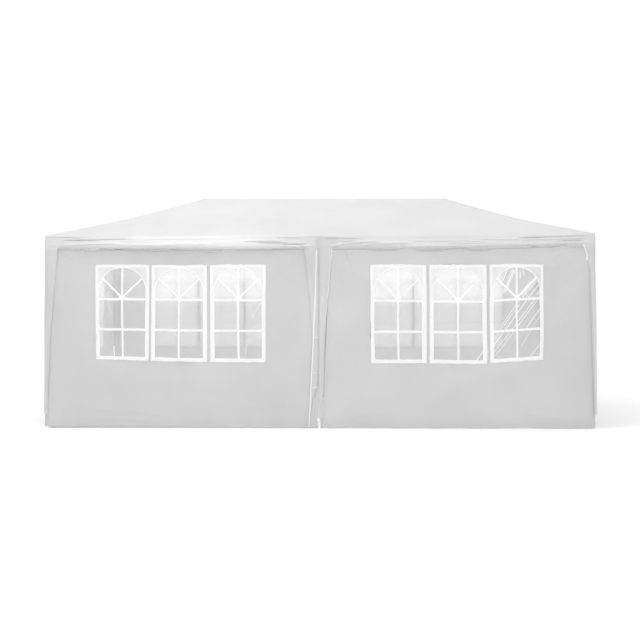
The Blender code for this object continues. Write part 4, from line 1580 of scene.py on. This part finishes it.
def build_leg_ties():
    """Ties that hold the sheets' free edges to the middle legs, knotted at the front."""
    ties = Patchwork()
    for side in (SIDES["front"], SIDES["back"]):
        leg = side.out * (side.depth - TUBE_INSET)
        for z in LEG_TIES:
            left = table_at(WEBBING, z) - TIE_BESIDE
            centre = leg + side.ahead * (left + TUBE_R) / 2 + UP * z
            half = (TUBE_R - left) / 2 + TIE_SPARE
            a = np.linspace(0, TURN, 40, endpoint=False)[:, None]
            reach = TUBE_R + TIE_STAND
            front = TUBE_INSET + TIE_FRONT
            slope = front - (front - reach) * np.clip((np.cos(a) + 1) / 2, 0, 1)
            depth = np.where(np.sin(a) > 0, slope, reach)
            line = centre + np.cos(a) * (half * side.ahead + TIE_SLANT * UP) + depth * np.sin(a) * side.out
            ties.grid(tube_path(line, TIE_R, guide=UP, closed=True))
        centre = leg + side.out * (TUBE_R + KNOT_OUT) + UP * KNOT_HEIGHT - side.ahead * KNOT_BESIDE
        ties.grid(knot(centre, KNOT_SIZE, side, KNOT_R))
        band = circle(leg + UP * KNOT_HEIGHT, side.ahead, side.out, TUBE_R + BAND_STAND, 32)
        ties.grid(tube_path(band, BAND_R, guide=UP, closed=True))
        for lean, length in LOOSE_ENDS:
            ties.grid(capped_tube(loose_end(centre - UP * KNOT_UNDER, side, lean, length), END_R))
    ties.build("leg_ties", "cord", weld=WELD)


def build_corner_tie():
    """The tape that hangs beside the front right drape, from under the valance."""
    side = SIDES["front"]
    s = np.linspace(0, 1, 30)
    t, z = (np.interp(s, np.linspace(0, 1, len(CORNER_TIE)), column) for column in zip(*CORNER_TIE))
    line = side.points(t, side.depth + TAPE_OUT + 0.004 * np.sin(s * 5), z)
    turn = 0.80 + 0.35 * np.sin(s * 5)
    across = np.outer(np.cos(turn), (0.96, 0, 0.28)) + np.outer(np.sin(turn), side.out)
    tape = Patchwork()
    tape.grid(ribbon(line, across, TAPE_WIDTH, TAPE_THICK))
    return tape.build("corner_tie", "hem", weld=WELD)


def build_roll(low, high, middle, radius):
    """The door, rolled up from its foot, with its head drawn up to the doorway's."""
    a = np.linspace(ROLL_END - ROLL_TURNS * TURN, ROLL_END, ROLL_TURNS * TURN_POINTS + 1)
    along = np.linspace(low.y + 0.002, high.y - 0.002, 46)
    pinch = ROLL_PINCH * sum(np.exp(-((along - y) / PINCH_WIDTH) ** 2) for y in STRAPS)
    rows = []
    for angle, share in zip(a, np.linspace(0, 1, len(a))):
        slackness = 1 - pinch * share
        slackness = slackness + ROLL_SLACK * waves(along, along * 0 + share * 0.3, "roll", 0.45) * share
        reach = (ROLL_START + (radius - ROLL_START) * share) * slackness
        shift = 0.0015 * waves(along, along * 0, f"turn {round(share * ROLL_TURNS)}", 0.5) * share * 0.4
        rows.append(np.stack((middle.x + reach * math.cos(angle), along,
                              middle.z + reach * math.sin(angle) + shift), axis=-1))
    tail = rows[-1].copy()
    tail[:, 0] = HALF_LENGTH + PLANE - 0.0015
    tail[:, 2] = DOOR_HEIGHT + 0.020
    door = Patchwork()
    door.grid(np.array(rows + stretches(rows[-1], tail, (0.35, 0.7, 1.0))))
    roll = door.build("door_sheet_rolled", "wall")
    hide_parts("door_roll")


def build_straps(middle, radius):
    """The straps round the rolled door, each with its toggle and the toggle's loop."""
    straps, toggles = Patchwork(), Patchwork()
    outer = radius + STRAP_STAND
    plane = HALF_LENGTH + PLANE
    face = plane + 0.0040
    height = middle.z + TOGGLE_RISE
    for y in STRAPS:
        path = [(face, y, middle.z + rise) for rise in (0.062, 0.040, 0.010)]
        path += list(circle((middle.x, y, middle.z), (1, 0, 0), UP, outer, 16, -math.radians(25), -math.pi))
        path += [(middle.x - outer * 0.80, y, middle.z + 0.030), (middle.x - 0.006, y, middle.z + 0.046),
                 (plane - 0.0045, y, middle.z + 0.056), (plane - 0.0042, y, middle.z + 0.066)]
        straps.grid(ribbon(refine(np.array(path), 60), (0, 1, 0), STRAP_WIDTH, STRAP_THICK))
        off = np.linspace(-TOGGLE_HALF, TOGGLE_HALF, 15)
        thick = 0.0052 - 0.0008 * np.cos(off / TOGGLE_HALF * math.pi) - 9 * np.abs(off) ** 2.4
        line = np.array((face + 0.0068, y, height)) + off[:, None] * np.array((0, 1, 0))
        toggles.grid(capped_tube(line, thick, 14, UP))
        loop = circle((face + 0.0046, y, height), (1, 0, 0), 1.15 * UP, TOGGLE_LOOP_R, 20)
        straps.grid(tube_path(loop, 0.0014, guide=(0, 1, 0), closed=True))
    straps.build("door_straps", "cord", weld=WELD)
    toggles.build("door_toggles", "plastic", weld=WELD)


def build_zip(name, edge, inward):
    """A zip beside the doorway: its tape, teeth and slider."""
    wall = WALLS[-1]
    z = np.linspace(WALL_FOOT + 0.004, DOOR_HEIGHT - 0.004, 110)
    tape, teeth, slider = Patchwork(), Patchwork(), Patchwork()
    columns = [wall.warped(np.full(z.shape, edge - inward * off), z, lift) for off, lift in ZIP_COLUMNS]
    tape.grid(np.array(columns))
    tape.build(f"door_zip_tape_{name}", "hem")
    for height in np.arange(WALL_FOOT + 0.010, DOOR_HEIGHT - 0.030, TOOTH_PITCH):
        teeth.grid(tooth(one_point(wall, edge + inward * 0.001, height, 0.0030), inward))
    teeth.build(f"door_zip_teeth_{name}", "plastic", weld=TOOTH_WELD)
    top = one_point(wall, edge + inward * 0.002, DOOR_HEIGHT - 0.022, 0.0046)
    slider.grid(pebble(top, SLIDER_HALVES))
    slider.grid(ribbon(refine(top + np.array(SLIDER_PULL), 16), (0, 1, 0), 0.0065, 0.0022))
    slider.build(f"door_zip_slider_{name}", "metal", weld=WELD)


def build_door():
    """The rolled door, what holds it, and the zips at the doorway's edges."""
    low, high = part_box("door_roll")
    middle = (low + high) / 2
    radius = (high.z - low.z) / 2 - 0.001
    build_roll(low, high, middle, radius)
    build_straps(middle, radius)
    build_zip("front", -DOOR_HALF, 1)
    build_zip("back", DOOR_HALF, -1)


def refine(line, count):
    """The same line with its corners eased and its points evenly spaced."""
    for _ in range(2):
        cut = np.empty((2 * len(line), 3))
        cut[0], cut[-1] = line[0], line[-1]
        cut[1:-1:2] = line[:-1] * 0.75 + line[1:] * 0.25
        cut[2:-1:2] = line[:-1] * 0.25 + line[1:] * 0.75
        line = cut
    far = np.concatenate(([0], np.cumsum(np.linalg.norm(np.diff(line, axis=0), axis=1))))
    places = np.linspace(0, far[-1], count)
    return np.stack([np.interp(places, far, line[:, k]) for k in range(3)], axis=-1)


def tooth(centre, inward):
    """One moulded tooth of a zip: a small wedge that narrows towards the other side."""
    u, half_deep, half_high = np.array(((-0.0030, -0.0029, 0.0022, 0.0026), (1e-5, 0.0016, 0.0012, 1e-5),
                                        (1e-5, 0.0019, 0.0012, 1e-5)))[:, :, None]
    a = np.linspace(0, TURN, 7)
    return centre + np.stack((half_deep * np.cos(a), inward * u + a * 0, half_high * np.sin(a)), axis=-1)


def pebble(centre, halves, rows=9, columns=16):
    """A rounded block about a point."""
    v = np.linspace(-math.pi / 2, math.pi / 2, rows)[:, None]
    u = np.linspace(0, TURN, columns + 1)[None]
    ring = squared(np.cos(v))
    shape = (ring * squared(np.cos(u)), ring * squared(np.sin(u)), squared(np.sin(v)) * np.ones_like(u))
    return np.array(centre) + np.stack(shape, axis=-1) * np.array(halves)


def build_buttons():
    """The spring buttons that lock the legs' splices, low and high on the inner face."""
    buttons = Patchwork()
    steps = np.linspace(0, math.pi / 2, 7)[:, None]
    a = np.linspace(0, TURN, 15)
    radii = BUTTON_R * np.cos(steps) + 1e-5
    face = TUBE_R - BUTTON_SUNK + BUTTON_RISE * np.sin(steps) + a * 0
    for name in frame["nodes"]:
        if not name.startswith(("leg_front", "leg_back")):
            continue
        low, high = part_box(name)
        x = (low.x + high.x) / 2
        x = math.copysign(HALF_LENGTH - TUBE_INSET, x) if abs(x) > 1 else 0.0
        y = math.copysign(HALF_WIDTH - TUBE_INSET, low.y + high.y)
        for z in (LEG_SPLICE - BUTTON_GAP, LEG_SPLICE + BUTTON_GAP):
            rows = (x + radii * np.cos(a), y - math.copysign(1.0, y) * face, z + radii * np.sin(a))
            buttons.grid(np.stack(rows, axis=-1))
    buttons.build("leg_spring_buttons", "metal", weld=WELD)


build_wall_ties()
build_leg_ties()
corner_tie = build_corner_tie()
build_door()
build_buttons()


# Frame: the finish of the tubes and connectors that show through the windows and the doorway

SHARP = math.radians(40)


def finish_frame():
    """Gives the nodes that stay their materials, and sharp edges where faces meet at more than an angle."""
    for node in bpy.context.scene.objects:
        if node.type == "MESH" and node.get("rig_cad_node") and not node.hide_render:
            node.data.materials.clear()
            node.data.materials.append(MATERIALS["plastic" if "connector" in node.name else "steel"])
            node.data.shade_smooth()
            node.data.set_sharp_from_angle(angle=SHARP)


# Studio

def build_studio():
    """A pale floor without an end, a white sky and a softbox over the tent's front left."""
    floor = Patchwork()
    x, y = np.meshgrid(FLOOR_LINES, FLOOR_LINES[::-1])
    floor.grid(np.stack((x, y, x * 0 + FLOOR_HEIGHT), axis=-1))
    mesh = floor.mesh("studio_floor")
    mesh.materials.append(MATERIALS["floor"])
    placed(mesh)

    world = bpy.data.worlds.new("studio")
    world.use_nodes = True
    sky = world.node_tree.nodes["Background"].inputs
    sky["Color"].default_value = (1, 1, 1, 1)
    sky["Strength"].default_value = SKY
    bpy.context.scene.world = world
    bpy.context.scene.view_settings.view_transform = "Standard"

    lamp = bpy.data.lights.new("softbox", "AREA")
    lamp.shape = "RECTANGLE"
    lamp.size, lamp.size_y = SOFTBOX_SIZE
    lamp.energy = SOFTBOX_WATTS
    softbox = placed(lamp)
    softbox.location = SOFTBOX
    softbox.rotation_euler = (Vector(SOFTBOX_AIM) - Vector(SOFTBOX)).to_track_quat("-Z", "Y").to_euler()


def build_camera():
    """The camera of the picture."""
    data = bpy.data.cameras.new("camera")
    data.sensor_width = SENSOR
    data.lens = FOCAL_PIXELS / FRAME_PIXELS * SENSOR
    data.shift_x = 0.5 - PRINCIPAL_POINT[0] / FRAME_PIXELS
    data.shift_y = PRINCIPAL_POINT[1] / FRAME_PIXELS - 0.5
    data.clip_end = 2000.0
    camera = placed(data)
    camera.location = CAMERA_PLACE
    camera.rotation_euler = (math.pi / 2, 0.0, CAMERA_TURN)
    bpy.context.scene.camera = camera


build_camera()
finish_frame()
build_studio()
